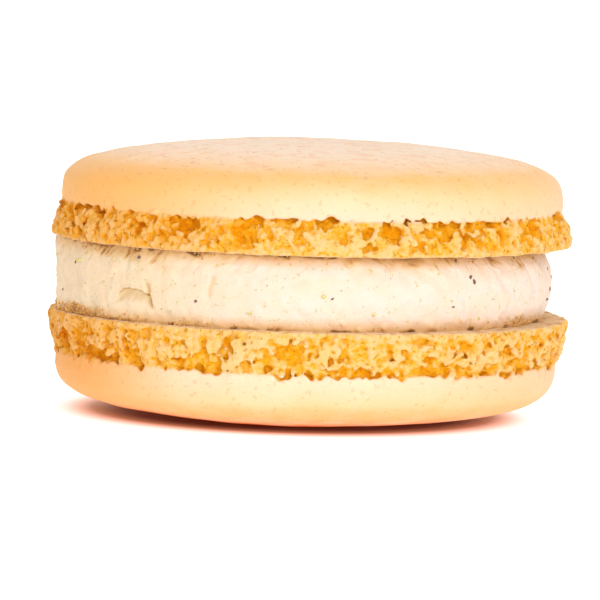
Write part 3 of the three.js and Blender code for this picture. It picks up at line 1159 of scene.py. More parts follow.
def scoop_place(angle, height):
    """How far across the scoop a point is, from -1 to 1, and how far below its arched lip."""
    across = turned_from(angle, SCOOP["azimuth"]) / SCOOP["half_width"]
    lip = LIP_ARCH["top"] - LIP_ARCH["drop"] * (across - LIP_ARCH["middle"]) ** 2
    lip = lip + LIP_ARCH["curl"] * smooth_step(across, *LIP_CURL)
    for speed, reach, start in LIP_WAVES:
        lip = lip + reach * np.sin(speed * across + start)
    return across, SCOOP["share"] * CREAM_THICKNESS + lip - height


def scoop_ends(across, below):
    """1 between the scoop's ends and 0 past them. The left end is ragged."""
    ragged = across + RAGGED[0] * np.sin(RAGGED[1] * below)
    return smooth_step(ragged, *LEFT_END) * (1 - smooth_step(across, *RIGHT_END))


def scoop_depth(angle, height):
    """A shallow scoop under a curled lip: steep at its top and right end, and soft at its foot."""
    across, below = scoop_place(angle, height)
    inside = smooth_step(below, *SCOOP_TOP) * (1 - smooth_step(below, SCOOP_FOOT, SCOOP["height"]))
    ridge = np.exp(-(((below + LIP_RIDGE["above"]) / LIP_RIDGE["width"]) ** 2))
    return (SCOOP["depth"] * inside - LIP_RIDGE["height"] * ridge) * scoop_ends(across, below)


def scoop_lip(angle, height):
    """1 along the scoop's lip and 0 away from it."""
    across, below = scoop_place(angle, height)
    return np.exp(-(((below - LIP_LINE[0]) / LIP_LINE[1]) ** 2)) * scoop_ends(across, below)


scoop_profile = scoop_depth(math.radians(SCOOP["azimuth"]), np.arange(0, CREAM_THICKNESS, 0.1))
print("the scoop is", round(float(scoop_profile.max()), 2), "mm deep")

# %% Creases
CREASES = (
    # azimuth, lowest and highest share of the thickness, width, depth, and how far it runs
    # aside for each mm that it rises
    (232.4, 0.14, 0.6, 0.46, 0.22, -0.22),
    (249.0, 0.34, 0.76, 0.5, 0.13, 0.2),
    (236.5, 0.62, 0.8, 0.2, 0.07, 0.35),
    (221.0, 0.5, 0.62, 0.22, 0.08, 0.35),
    (318.0, 0.8, 0.97, 0.2, 0.1, -0.8),
    (329.0, 0.78, 0.95, 0.22, 0.12, -0.8),
    (340.8, 0.66, 0.86, 0.2, 0.1, -0.6),
)
CREASE_WAVER = (0.06, 4)  # how far a crease wavers aside in mm, and how fast
GROOVE_ENDS = (0.5, 1.0)  # shares of its half length between which a groove fades out


def groove(along, aside, length, width):
    """A soft groove, 1 at its middle: along runs down its length and aside across it."""
    fade = 1 - smooth_step(np.abs(along) / (length / 2), *GROOVE_ENDS)
    return np.exp(-((aside / (width / 2)) ** 2)) * fade


def crease_depth(angle, height):
    """How deep the creases are at a point, at their marked places."""
    reach, speed = CREASE_WAVER
    depth = 0
    for azimuth, low, high, width, deep, slant in CREASES:
        middle = (low + high) / 2 * CREAM_THICKNESS
        up = height - middle
        aside = turned_from(angle, azimuth) - slant * up - reach * np.sin(speed * up)
        depth = depth + deep * groove(up, aside, (high - low) * CREAM_THICKNESS, width)
    return depth


print(len(CREASES), "creases, the deepest", max(crease[4] for crease in CREASES), "mm")

# %% Drag marks
# Lengths, widths and depths in mm, and the shares of the thickness between which they lie.
PULLS = dict(
    seed=71, count=110, length=(0.6, 1.9), width=(0.12, 0.3), depth=(-0.09, 0.14), shares=(0.78, 1.0)
)
FOLDS = dict(
    seed=72, count=80, length=(0.4, 1.2), width=(0.16, 0.36), depth=(-0.18, 0.1), shares=(0.0, 0.1)
)
SLANTS = (0.3, 1.3)  # how far they lean from upright, in radians


def drag_marks(angle, height, seed, count, length, width, depth, shares):
    """Many short slanting marks, each drawn by chance within the given limits. They fan out:
    on the left they rise to the right, and on the right to the left."""
    rng = np.random.default_rng(seed)
    total = np.zeros(angle.shape)
    for _ in range(count):
        azimuth = rng.uniform(0, 360)
        aside = turned_from(angle, azimuth)
        up = height - rng.uniform(*shares) * CREAM_THICKNESS
        slant = math.copysign(rng.uniform(*SLANTS), math.cos(math.radians(azimuth)))
        along = aside * math.sin(slant) - up * math.cos(slant)
        across = aside * math.cos(slant) + up * math.sin(slant)
        total += rng.uniform(*depth) * groove(along, across, rng.uniform(*length), rng.uniform(*width))
    return total


print(PULLS["count"], "pulls and", FOLDS["count"], "folds")

# %% The cream's side


def cream_radius(angle, height):
    """The cream's radius about its own axis, at a height above the lower flat face."""
    share = height / CREAM_THICKNESS
    from_middle = 2 * share - 1
    recess = np.where(from_middle > 0, CREAM_TOP_RECESS, CREAM_BOTTOM_RECESS)
    drawn_in = recess * (1 + RECESS_LEAN * np.cos(angle)) * np.abs(from_middle) ** RECESS_POWER
    radius = CREAM_RADIUS - drawn_in + CREAM_WOBBLE * round_wave(angle, CREAM_SEEDS["wobble"])
    marks = scoop_depth(angle, height) + crease_depth(angle, height)
    marks = marks + drag_marks(angle, height, **PULLS) + drag_marks(angle, height, **FOLDS)
    spot = np.stack([CREAM_RADIUS * np.cos(angle), CREAM_RADIUS * np.sin(angle), height], -1)
    for i, (size, depth) in enumerate(CREAM_WAVES):
        marks = marks + depth * ripples(spot, size, CREAM_SEEDS["waves"] + i)
    return radius - marks


def cream_spot(angle, height, out=0.0):
    """A point on the cream's side, or a little out from it, in the macaron's frame."""
    angle, height = np.broadcast_arrays(angle, height)
    radius = cream_radius(angle, height) + out
    return np.stack([CREAM_SHIFT + radius * np.cos(angle), radius * np.sin(angle), BOTTOM_FACE + height], -1)


print("a point on the cream's right:", cream_spot(0.0, CREAM_THICKNESS / 2).round(1))

# %% [markdown]
# ## Stains and painted shade on the cream
# Pressing and wiping rubbed biscuit into the cream. It lies darkest as a broken line in both
# seams, is drawn out from there in smears that fan out to the sides, and catches in creases.
# The line and the marks in the seams are partly painted shadow of the gaps under the shells,
# and the colour in creases and along the scoop's lip is partly painted shade. It could be
# painted on, but here it is worked out at each point from the marks' own places.

# %% Stains and painted shade
# Lengths and widths in mm, how dark each is, and the shares of the thickness between which they lie.
SMEARS = dict(
    seed=93, count=620, length=(0.5, 2.4), width=(0.1, 0.24), depth=(0.12, 0.42), shares=(0.8, 1.02)
)
DABS = dict(
    seed=94, count=300, length=(0.4, 1.4), width=(0.12, 0.3), depth=(0.15, 0.5), shares=(-0.02, 0.14)
)
MOST_SMEARED = 0.5  # where smears lie over each other
THIN_SMEARS = (1.5, 0.2)  # how they gain with the patches, and what is left of the thinnest
SMEARS_IN_FRONT = 0.5  # share of their strength that smears have in front, against the sides
SIDE_POWER = 1.5  # how late they gain the rest
RUBBED_PATCHES = ((1.1, 0.35), (0.5, 0.2))  # size and strength of the patches that stains come in
SEAM_LINE = (0.02, 0.1, 0.3)  # mm from the seam where its line begins and ends, and how unevenly
LINE_STRENGTHS = (0.1, 0.7)  # between which the line's strength goes with the patches
MARK_EDGE = (0.2, 1.3)  # shares of a mark's reach between which it fades out
CAUGHT_AND_SHADED = dict(lip=0.7, crease=2.5)  # painted shadow along the scoop's lip, and for each mm of a crease's depth biscuit caught there and painted shade
# Stains in the seams, and painted shadows of the gaps under the shells.
SEAM_STAINS_AND_SHADOWS = (
    # azimuth, half width round the cream, reach from the seam, strength: under the upper foot
    ((214.0, 2.4, 0.45, 0.7), (224.0, 7.5, 1.4, 0.38), (228.6, 0.5, 0.55, 1.0), (232.5, 0.5, 0.35, 0.8),
     (244.0, 0.9, 0.5, 1.0), (252.0, 2.5, 0.5, 0.35), (265.5, 0.65, 0.45, 1.0), (276.6, 0.5, 0.3, 1.0),
     (281.5, 1.0, 0.7, 0.6), (288.0, 1.2, 0.5, 0.35), (294.5, 2.0, 0.95, 0.65), (295.5, 0.3, 0.3, 1.0),
     (304.0, 2.0, 0.6, 0.5), (314.0, 0.55, 0.35, 1.0), (320.0, 1.2, 0.8, 0.4), (333.0, 2.4, 1.2, 0.4)),
    # and over the lower one
    ((202.0, 1.7, 0.3, 1.0), (206.0, 4.2, 1.0, 0.6), (222.0, 3.0, 0.3, 0.8), (239.0, 0.7, 0.22, 1.0),
     (243.6, 1.2, 0.55, 0.4), (254.5, 0.4, 0.2, 1.0), (262.5, 0.25, 0.2, 1.0), (264.0, 1.1, 0.35, 0.6),
     (278.5, 0.9, 0.16, 0.9), (296.0, 0.5, 0.2, 1.0), (302.0, 0.6, 0.45, 0.7), (313.5, 0.45, 0.28, 1.0),
     (327.0, 0.7, 0.28, 1.0), (334.0, 2.6, 1.2, 0.5), (345.0, 1.0, 0.3, 0.9)),
)


def seam_stains_and_shadows(angle, height, uneven):
    """The stains and painted shadows of gaps at marked places of both seams, ragged at their edges."""
    total = 0
    for marks, from_seam in zip(SEAM_STAINS_AND_SHADOWS, (CREAM_THICKNESS - height, height)):
        for azimuth, half_width, reach, strength in marks:
            aside = turned_from(angle, azimuth) / half_width
            away = from_seam / (reach * (0.5 + uneven))
            mark = strength * np.exp(-(aside**4)) * (1 - smooth_step(away, *MARK_EDGE))
            total = np.maximum(total, mark)
    return total


def cream_stain(angle, height):
    """How much biscuit the cream has rubbed off the shells, with painted shade, from 0 to 1: a
    broken line in each seam, partly painted shadow of the gap, marks and smears that were drawn
    out from it, and what caught in the creases and along the scoop's lip, partly painted shade."""
    spot = np.stack([CREAM_RADIUS * np.cos(angle), CREAM_RADIUS * np.sin(angle), height], -1)
    uneven = 0.5
    for i, (size, strength) in enumerate(RUBBED_PATCHES):
        uneven = uneven + strength * ripples(spot, size, CREAM_SEEDS["patches"] + i)
    uneven = np.clip(uneven, 0, 1)
    # The line in each seam is partly painted shadow of the gap under the shell.
    begins, ends, wavers = SEAM_LINE
    from_seam = np.minimum(height, CREAM_THICKNESS - height)
    line = 1 - smooth_step(from_seam, begins, ends + wavers * uneven)
    line = line * between(LINE_STRENGTHS, uneven)
    smears = drag_marks(angle, height, **SMEARS) + drag_marks(angle, height, **DABS)
    to_the_sides = SMEARS_IN_FRONT + (1 - SMEARS_IN_FRONT) * np.abs(np.cos(angle)) ** SIDE_POWER
    gain, thinnest = THIN_SMEARS
    smears = np.minimum(smears * to_the_sides * np.clip(gain * uneven, thinnest, 1), MOST_SMEARED)
    caught_and_shaded = CAUGHT_AND_SHADED["lip"] * scoop_lip(angle, height)
    caught_and_shaded = caught_and_shaded + CAUGHT_AND_SHADED["crease"] * np.maximum(crease_depth(angle, height), 0)
    return np.clip(np.maximum(line, seam_stains_and_shadows(angle, height, uneven)) + smears + caught_and_shaded, 0, 1)


print(SMEARS["count"] + DABS["count"], "smears and", sum(map(len, SEAM_STAINS_AND_SHADOWS)), "marks in the seams")

# %% Cream mesh
CREAM_TURNS = 1180
CREAM_ROWS = 78
CREAM_RINGS = ((20.0, 300), (14.0, 128), (6.0, 64))  # radius and number of points, top and bottom


def cream_piece():
    """The cream as an object in its place, with what its material reads."""
    angle = np.arange(CREAM_TURNS)[None, :] * TAU / CREAM_TURNS
    height = np.linspace(-CREAM_GRIP, CREAM_THICKNESS + CREAM_GRIP, CREAM_ROWS)[:, None]
    side = cream_spot(angle, np.clip(height, 0, CREAM_THICKNESS)).copy()
    side[..., 2] = BOTTOM_FACE + height
    here = np.arange(CREAM_ROWS * CREAM_TURNS).reshape(CREAM_ROWS, CREAM_TURNS)
    ahead = np.roll(here, -1, 1)
    faces = np.stack([here[:-1], ahead[:-1], ahead[1:], here[1:]], -1).reshape(-1, 4)
    mesh = Builder(side.reshape(-1, 3), faces)
    for row, way in ((0, -1), (-1, 1)):
        loop = here[row].tolist()
        level = float(side[row, 0, 2])
        if way < 0:
            loop = loop[:1] + loop[:0:-1]
        mesh.cover(loop, [(radius, level, count) for radius, count in CREAM_RINGS], way, level)
    piece = link(bpy.data.objects.new("cream_filling", mesh_of("cream_filling", mesh.points, mesh.faces)))
    piece.data.shade_smooth()
    points = points_of(piece.data)
    height = points[:, 2] - BOTTOM_FACE
    angle = np.arctan2(points[:, 1], points[:, 0] - CREAM_SHIFT)
    scooped = scoop_depth(angle, height) / SCOOP["depth"]
    stain = cream_stain(angle, np.clip(height, 0, CREAM_THICKNESS))
    store(piece.data, share=height / CREAM_THICKNESS, scooped=scooped, stain=stain)
    print("cream_filling has", triangles_of(piece.data), "triangles")
    return piece


cream = cream_piece()

# %% [markdown]
# ## Seeds, flecks and crumbs
# Vanilla seeds are dark grains in the cream, and ground almond shows in it as golden flecks. Where
# the shells were pressed on, crumbs of biscuit lie in the seams. Each kind is one mesh: a rough
# little ball is made once, and turned, stretched and sunk in the cream at many places. Instances
# on points would be lighter, but such a small ball is quickly copied, and the mesh stands alone.

# %% Rough balls
GRAIN_FACETS = 2  # how often the ball's faces are split
GRAIN_ROUGHNESS = 0.4
GRAIN_LUMPS = 1.2  # size of its lumps, over its half width


def rough_ball(seed):
    """The points and faces of a lumpy ball of half width 1."""
    ball = bmesh.new()
    bmesh.ops.create_icosphere(ball, subdivisions=GRAIN_FACETS, radius=1)
    points = np.array([vertex.co for vertex in ball.verts])
    faces = np.array([[vertex.index for vertex in face.verts] for face in ball.faces])
    ball.free()
    return points * (1 + GRAIN_ROUGHNESS * ripples(points, GRAIN_LUMPS, seed))[:, None], faces


def scattered(name, spots, sizes, stretch, seed):
    """One mesh of rough balls at the spots, each turned and stretched by chance."""
    rng = np.random.default_rng(seed)
    ball, faces = rough_ball(seed)
    points, joined = [], []
    for i, (spot, size) in enumerate(zip(spots, sizes)):
        shape = size * np.array((1, rng.uniform(*stretch), rng.uniform(*stretch)))
        spin = np.array(Euler(rng.uniform(0, TAU, 3)).to_matrix())
        points.append(spot + (ball * shape) @ spin.T)
        joined.append(faces + i * len(ball))
    mesh = mesh_of(name, np.concatenate(points), np.concatenate(joined).tolist())
    mesh.shade_smooth()
    print(name, "has", len(spots), "grains and", len(mesh.polygons), "triangles")
    return link(bpy.data.objects.new(name, mesh))


print("a grain has", len(rough_ball(1)[1]), "triangles")

# %% Seeds and flecks
SUNK = 0.25  # how deep a grain's middle lies in the cream, over its half size
GRAIN_STRETCH = (0.4, 0.9)  # its other two half sizes, over that one
BEHIND = (5, 185)  # azimuths in degrees, and shares of the thickness, of those placed by chance
BEHIND_SHARES = (0.1, 0.95)
SEEDS = (
    # azimuth in degrees, share of the cream's thickness, size in mm
    (196.0, 0.292, 0.24), (204.9, 0.704, 0.3), (229.4, 0.868, 0.3), (245.5, 0.336, 0.36),
    (276.6, 0.448, 0.32), (278.6, 0.56, 0.16), (312.6, 0.66, 0.42), (311.7, 0.72, 0.34),
    (307.8, 0.944, 0.36), (312.2, 0.976, 0.5), (329.5, 0.936, 0.42), (350.9, 0.72, 0.36),
    (352.9, 0.6, 0.32), (351.3, 0.444, 0.36), (347.2, 0.316, 0.3), (306.5, 0.33, 0.24),
    (339.5, 0.9, 0.3), (344.0, 0.82, 0.26), (327.0, 0.5, 0.16), (318.5, 0.42, 0.14),
    (290.0, 0.72, 0.14), (262.0, 0.6, 0.14), (236.0, 0.2, 0.18), (222.0, 0.62, 0.14),
)
FLECKS = (
    (274.8, 0.46, 0.5), (286.4, 0.228, 0.5), (285.6, 0.82, 0.5), (206.1, 0.736, 0.6),
    (208.6, 0.76, 0.5), (305.8, 0.404, 0.34), (258.5, 0.22, 0.4), (240.0, 0.55, 0.3),
    (296.5, 0.62, 0.3), (302.0, 0.78, 0.3), (321.0, 0.3, 0.3), (333.0, 0.62, 0.26),
    (266.0, 0.7, 0.26), (315.0, 0.16, 0.4), (214.0, 0.5, 0.24), (250.0, 0.84, 0.3),
)


def cream_grains(name, marked, count, sizes, seed):
    """Grains in the cream's side: the marked ones in front, and others by chance behind."""
    rng = np.random.default_rng(seed)
    behind = [rng.uniform(*limits, count) for limits in (BEHIND, BEHIND_SHARES, sizes)]
    azimuth, share, size = np.concatenate([np.array(marked).T, np.array(behind)], 1)
    spots = cream_spot(np.radians(azimuth), share * CREAM_THICKNESS, -SUNK * size / 2)
    return scattered(name, spots, size / 2, GRAIN_STRETCH, seed)


seeds = cream_grains("vanilla_seeds", SEEDS, count=26, sizes=(0.14, 0.42), seed=81)
flecks = cream_grains("almond_flecks", FLECKS, count=20, sizes=(0.24, 0.55), seed=82)

# %% Crumbs in the seams
CRUMB_COUNT = 140
CRUMB_SIZES = (0.07, 0.26)
CRUMB_SIZE_BIAS = 2  # above 1, most crumbs are near the smallest size
CRUMB_STRETCH = (0.5, 1.0)
CRUMB_RISE = 0.7  # how far from the seam the furthest lie, in mm
CRUMB_RISE_BIAS = 3  # above 1, most lie near the seam
CRUMB_REST = 0.3  # how far from it the nearest lie, over their size
CRUMB_OUT = (-0.02, 0.1)  # how far out of the cream their middles lie
CRUMB_PATCHES = (
    # azimuth, spread in degrees, 0 for the lower seam or 1 for the upper, count
    (203.0, 9.0, 0, 300), (227.0, 3.0, 0, 30), (241.0, 3.0, 0, 20), (256.0, 2.0, 0, 8),
    (289.0, 2.0, 0, 8), (318.0, 2.0, 0, 10), (332.0, 4.0, 0, 60), (212.0, 4.0, 1, 20),
    (227.0, 1.5, 1, 14), (247.0, 2.0, 1, 16), (265.0, 1.5, 1, 14), (274.5, 1.0, 1, 9),
    (292.0, 2.0, 1, 10), (312.0, 3.0, 1, 16),
)


def seam_spots(rng):
    """Where crumbs lie: in the marked patches, and thinly all round both seams."""
    azimuth, upper = [], []
    for middle, spread, side, count in CRUMB_PATCHES:
        azimuth += rng.normal(middle, spread, count).tolist()
        upper += [side] * count
    azimuth += rng.uniform(0, 360, CRUMB_COUNT).tolist()
    upper += rng.integers(0, 2, CRUMB_COUNT).tolist()
    return np.radians(azimuth), np.array(upper)


rng = np.random.default_rng(CREAM_SEEDS["crumbs"])
azimuth, upper = seam_spots(rng)
size = between(CRUMB_SIZES, rng.random(len(azimuth)) ** CRUMB_SIZE_BIAS)
rise = size * CRUMB_REST + CRUMB_RISE * rng.random(len(azimuth)) ** CRUMB_RISE_BIAS
height = np.where(upper, CREAM_THICKNESS - rise, rise)
spots = cream_spot(azimuth, height, rng.uniform(*CRUMB_OUT, len(azimuth)))
crumbs = scattered("seam_crumbs", spots, size / 2, CRUMB_STRETCH, CREAM_SEEDS["crumb_shapes"])

# %% [markdown]
# ## Finishes
# Effects that both shells and the cream need are shader groups with named inputs: soft blotches of
# colour, fine grain, and scattered specks. Each is made once, from noise in the macaron's own
# frame, and each material places it with its own values. An unwrapped texture would need seams.

# %% Making and placing shader groups


def new_group(name, inputs, outputs):
    """A shader group with float inputs, given with their defaults, and float outputs. It reads
    the point in millimetres, in the macaron's own frame."""
    group = bpy.data.node_groups.new(name, "ShaderNodeTree")
    for label, default in inputs.items():
        socket = group.interface.new_socket(label, in_out="INPUT", socket_type="NodeSocketFloat")
        socket.default_value = default
    for label in outputs:
        group.interface.new_socket(label, in_out="OUTPUT", socket_type="NodeSocketFloat")
    place = add_node(group, "ShaderNodeTexCoord").outputs["Object"]
    scaled = add_node(group, "ShaderNodeVectorMath", {0: place, 1: (1 / MM,) * 3}, operation="MULTIPLY")
    ends = add_node(group, "NodeGroupInput"), add_node(group, "NodeGroupOutput")
    return group, scaled.outputs[0], *ends


def noise_of_size(group, point, given, **values):
    """Noise whose lumps have the group's given size, in millimetres."""
    frequency = math_node(group, "DIVIDE", 1.0, given.outputs["Size"])
    noise = add_node(group, "ShaderNodeTexNoise", {"Vector": point, "Scale": frequency, **values})
    return noise.outputs[0]


def place_group(tree, group, **values):
    """A group's only output, with its inputs set."""
    node = add_node(tree, "ShaderNodeGroup", node_tree=group)
    for name, value in values.items():
        node.inputs[name].default_value = value
    return node.outputs[0]


print("shader groups so far:", len(bpy.data.node_groups))

# %% Shader group: blotches
blotches, point, given, out = new_group("blotches", {"Size": 3.0, "Edge": 0.2}, ["Mask"])
cloud = noise_of_size(blotches, point, given, Detail=3.0)
low = math_node(blotches, "SUBTRACT", 0.5, given.outputs["Edge"])
high = math_node(blotches, "ADD", 0.5, given.outputs["Edge"])
blotches.links.new(shade_band(blotches, cloud, low, high), out.inputs["Mask"])
print("blotches has", len(blotches.nodes), "nodes")

# %% Shader group: grain
grain, point, given, out = new_group("grain", {"Size": 0.3, "Roughness": 0.6}, ["Height"])
fine = noise_of_size(grain, point, given, Detail=4.0, Roughness=given.outputs["Roughness"])
grain.links.new(fine, out.inputs["Height"])
print("grain has", len(grain.nodes), "nodes")

# %% Shader group: specks
SPECK_EDGE = 0.05  # how far above the level a speck is fully there

specks, point, given, out = new_group("specks", {"Size": 0.4, "Level": 0.68}, ["Mask"])
cloud = noise_of_size(specks, point, given, Detail=1.0)
high = math_node(specks, "ADD", given.outputs["Level"], SPECK_EDGE)
specks.links.new(shade_band(specks, cloud, given.outputs["Level"], high), out.inputs["Mask"])
print("specks has", len(specks.nodes), "nodes")

# %% Surface helpers


def lay_over(tree, colour, coats):
    """A colour under coats, each a mask, the most that it hides, and its own colour."""
    for mask, most, other in coats:
        colour = mix_colour(tree, math_node(tree, "MULTIPLY", mask, most), colour, other)
    return colour


def along_x(tree):
    """How far along X a point of the surface lies, in metres."""
    place = add_node(tree, "ShaderNodeTexCoord").outputs["Object"]
    return add_node(tree, "ShaderNodeSeparateXYZ", {0: place}).outputs["X"]


def add_bump(tree, shader, height, distance, strength):
    """Relief that is only shaded, with the distance in mm that a height of 1 stands for."""
    values = {"Height": height, "Distance": distance * MM, "Strength": strength}
    bump = add_node(tree, "ShaderNodeBump", values)
    tree.links.new(bump.outputs["Normal"], shader.inputs["Normal"])


def let_light_in(shader, weight, radius, scale):
    """Subsurface scattering: how much, how far each colour goes, and the reach in mm."""
    shader.inputs["Subsurface Weight"].default_value = weight
    shader.inputs["Subsurface Radius"].default_value = radius
    shader.inputs["Subsurface Scale"].default_value = scale * MM


print("helpers for surfaces: lay_over, along_x, add_bump, let_light_in")

# %% [markdown]
# ## Baked shell
# The skin is matte golden almond biscuit, a little paler in blotches, with flecks of ground
# almond. The upper crown is pale, partly its own colour and partly a painted reflection of the
# bright tent; it shows flakes of almond under the skin and has a powdery bloom, which sheen gives:
# it brightens a surface that is seen edge on. The lower crown is darker towards the underside as
# painted shade. One ramp of colours by height does most of it, because a shell is baked in rings,
# and masks lay the rest over it. The ramp also holds a painted highlight near the torn edge and
# painted shade on the upper shoulder, and a mask paints shade on the left and right sides.

# %% Painted side shade
UPPER_SIDE_SHADE = (2.0, -20.0, 0.85), (2.0, 22.0, 0.3)  # mm along X from where to where, and how much
LOWER_SIDE_SHADE = (-9.0, -21.0, 0.95), (2.0, 22.0, 0.3)


def side_shading(tree, shell):
    """Painted shade on a shell's sides: most on the left, and a little on the right."""
    side = along_x(tree)
    shares = []
    for start, end, most in LOWER_SIDE_SHADE if shell.turned_over else UPPER_SIDE_SHADE:
        shares.append(math_node(tree, "MULTIPLY", shade_band(tree, side, start * MM, end * MM), most))
    return math_node(tree, "MAXIMUM", *shares)


print("browned by", LOWER_SIDE_SHADE[0][2], "at the lower left and", UPPER_SIDE_SHADE[0][2], "at the upper")

# %% Skin colours
SIDE_STOPS_AND_HIGHLIGHT = (
    # share of the dome's height above the torn edge, colour: paler near the edge, partly a painted highlight
    (0.0, (0.93, 0.62, 0.43)),
    (0.2, (0.93, 0.59, 0.37)),
    (0.42, (0.93, 0.55, 0.27)),
)
# The upper crown's golden shoulder is partly painted shade, and its pale top partly a painted reflection of
# the bright tent.
UPPER_CROWN_AND_PAINTED_LIGHT = ((0.64, (0.91, 0.50, 0.14)), (0.8, (0.91, 0.59, 0.34)), (0.93, (0.91, 0.68, 0.51)))
# The lower crown goes darker towards the underside as painted shade.
LOWER_CROWN_SHADE = (
    (0.52, (0.92, 0.465, 0.165)),
    (0.64, (0.90, 0.41, 0.10)),
    (0.74, (0.88, 0.32, 0.055)),
    (0.88, (0.83, 0.21, 0.027)),
)
SKIN_PALE = (0.92, 0.72, 0.50, 1)
SKIN_SIDE_SHADE = (0.85, 0.42, 0.075, 1)
LOWER_SIDE_SHADE_TINT = (0.97, 0.84, 0.74, 1)  # the lower skin is multiplied by it where the side shade is painted
ALMOND_FLECK = (0.66, 0.30, 0.08, 1)
ALMOND_FLAKE = (0.86, 0.47, 0.22, 1)
PALE_PATCHES = dict(Size=2.5, Edge=0.25)
FLECKS_IN_SKIN = dict(Size=0.5, Level=0.64)
FLAKES_IN_SKIN = dict(Size=1.3, Level=0.57)
CROWN_BAND = (0.6, 0.85)  # shares of the dome's height between which the crown begins
FLECK_BAND = (0.35, 0.8)  # and between which the flecks grow stronger
SIDE_SHADE_BAND = (0.78, 0.56)  # and between which the painted side shade begins, from above
PALE_SHARES, FLECK_SHARES, FLAKE_SHARES = (0.2, 0.5), (0.28, 0.5), (0.1, 1)  # on the side, on the crown
FLAKE_COVER = 0.5


def flakes_of(tree, above):
    """Where flakes of almond lie under the skin, mostly on the crown."""
    on_crown = shade_band(tree, above, *CROWN_BAND)
    flakes = place_group(tree, specks, **FLAKES_IN_SKIN)
    return math_node(tree, "MULTIPLY", flakes, share_node(tree, on_crown, *FLAKE_SHARES))


def skin_colours(tree, above, side_shade, shell, flakes):
    """The skin's colour from the torn edge to the crown."""
    on_crown = shade_band(tree, above, *CROWN_BAND)
    flecked = shade_band(tree, above, *FLECK_BAND)
    ring = colour_ramp(tree, above, SIDE_STOPS_AND_HIGHLIGHT + (LOWER_CROWN_SHADE if shell.turned_over else UPPER_CROWN_AND_PAINTED_LIGHT))
    colour = lay_over(tree, ring, (
        (place_group(tree, blotches, **PALE_PATCHES), share_node(tree, on_crown, *PALE_SHARES), SKIN_PALE),
        (side_shade, shade_band(tree, above, *SIDE_SHADE_BAND), SKIN_SIDE_SHADE),
        (flakes, FLAKE_COVER, ALMOND_FLAKE),
        (place_group(tree, specks, **FLECKS_IN_SKIN), share_node(tree, flecked, *FLECK_SHARES), ALMOND_FLECK),
    ))
    # Painted shade, darker still, on the lower shell's left.
    if shell.turned_over:
        colour = mix_colour(tree, side_shade, colour, LOWER_SIDE_SHADE_TINT, "MULTIPLY")
    return colour


print("the skin's ramps have", len(SIDE_STOPS_AND_HIGHLIGHT + UPPER_CROWN_AND_PAINTED_LIGHT), "and", len(SIDE_STOPS_AND_HIGHLIGHT + LOWER_CROWN_SHADE), "stops")

# %% [markdown]
# ## The foam's colours
# The foam's crests have dried pale in the oven, and its hollows stay a deep orange, darker still
# where shade is painted in hollows, creases and undersides. The stored moisture and painted shade
# go through one ramp, with fine noise added first, so that no two crests dry alike. Painted side
# shade darkens the foam on the left and right. Baked images could hold it too, but the ramp stays
# sharp from any distance.

# %% Foam colours
FOAM_STOPS = (
    # how much moisture and painted shade the foam has, colour
    (0.0, (0.94, 0.60, 0.23)),
    (0.15, (0.94, 0.56, 0.15)),
    (0.32, (0.93, 0.50, 0.06)),
    (0.5, (0.92, 0.43, 0.012)),
    (0.75, (0.91, 0.38, 0.004)),
    (1.0, (0.82, 0.30, 0.0)),
)
FOAM_SIDE_SHADE = (0.92, 0.71, 0.38, 1)  # painted side shade: the foam's colour is multiplied by it
FOAM_PALE = (0.94, 0.71, 0.43, 1)
FOAM_PORE = (0.55, 0.215, 0.02, 1)
# The flat face is paler, partly a film of cream and partly painted light where it lies in shade.
FACE_FILM_AND_LIGHT = (0.94, 0.68, 0.46, 1)
FACE_CRUMB = (0.66, 0.35, 0.13, 1)
MOTTLE = dict(Size=0.42, Roughness=0.65)
MOTTLE_STRENGTH, MOTTLE_MEAN = 1.8, 0.76
DRY_PATCHES = dict(Size=1.4, Edge=0.15)
DRY_BAND = (0.3, 0.0)  # moisture and painted shade where dry patches fade out, and where they are full
DRY_COVER = 0.3
PORE_SPECKS = dict(Size=0.42, Level=0.63)
PORE_SHARES = (0.5, 1.0)  # how much they cover, outside the painted side shade and inside it
CRUMBS_ON_FACE = dict(Size=0.9, Level=0.56)
FACE_COVER = 0.75


def foam_colours(tree, moist, side_shade):
    """The foam's colour from its dry crests to its hollows, and that of the flat face."""
    noise = place_group(tree, grain, **MOTTLE)
    uneven = math_node(tree, "SUBTRACT", moist, MOTTLE_MEAN)
    uneven = math_node(tree, "MULTIPLY_ADD", noise, MOTTLE_STRENGTH, uneven)
    patches = place_group(tree, blotches, **DRY_PATCHES)
    dry = math_node(tree, "MULTIPLY", patches, shade_band(tree, uneven, *DRY_BAND))
    pores = place_group(tree, specks, **PORE_SPECKS)
    face = stored(tree, "face")
    crumbs = math_node(tree, "MULTIPLY", face, place_group(tree, specks, **CRUMBS_ON_FACE))
    colour = mix_colour(tree, side_shade, colour_ramp(tree, uneven, FOAM_STOPS), FOAM_SIDE_SHADE, "MULTIPLY")
    return lay_over(tree, colour, (
        (dry, DRY_COVER, FOAM_PALE),
        (pores, share_node(tree, side_shade, *PORE_SHARES), FOAM_PORE),
        (face, FACE_COVER, FACE_FILM_AND_LIGHT),
        (crumbs, FACE_COVER, FACE_CRUMB),
    ))


print("the foam's ramp has", len(FOAM_STOPS), "stops")

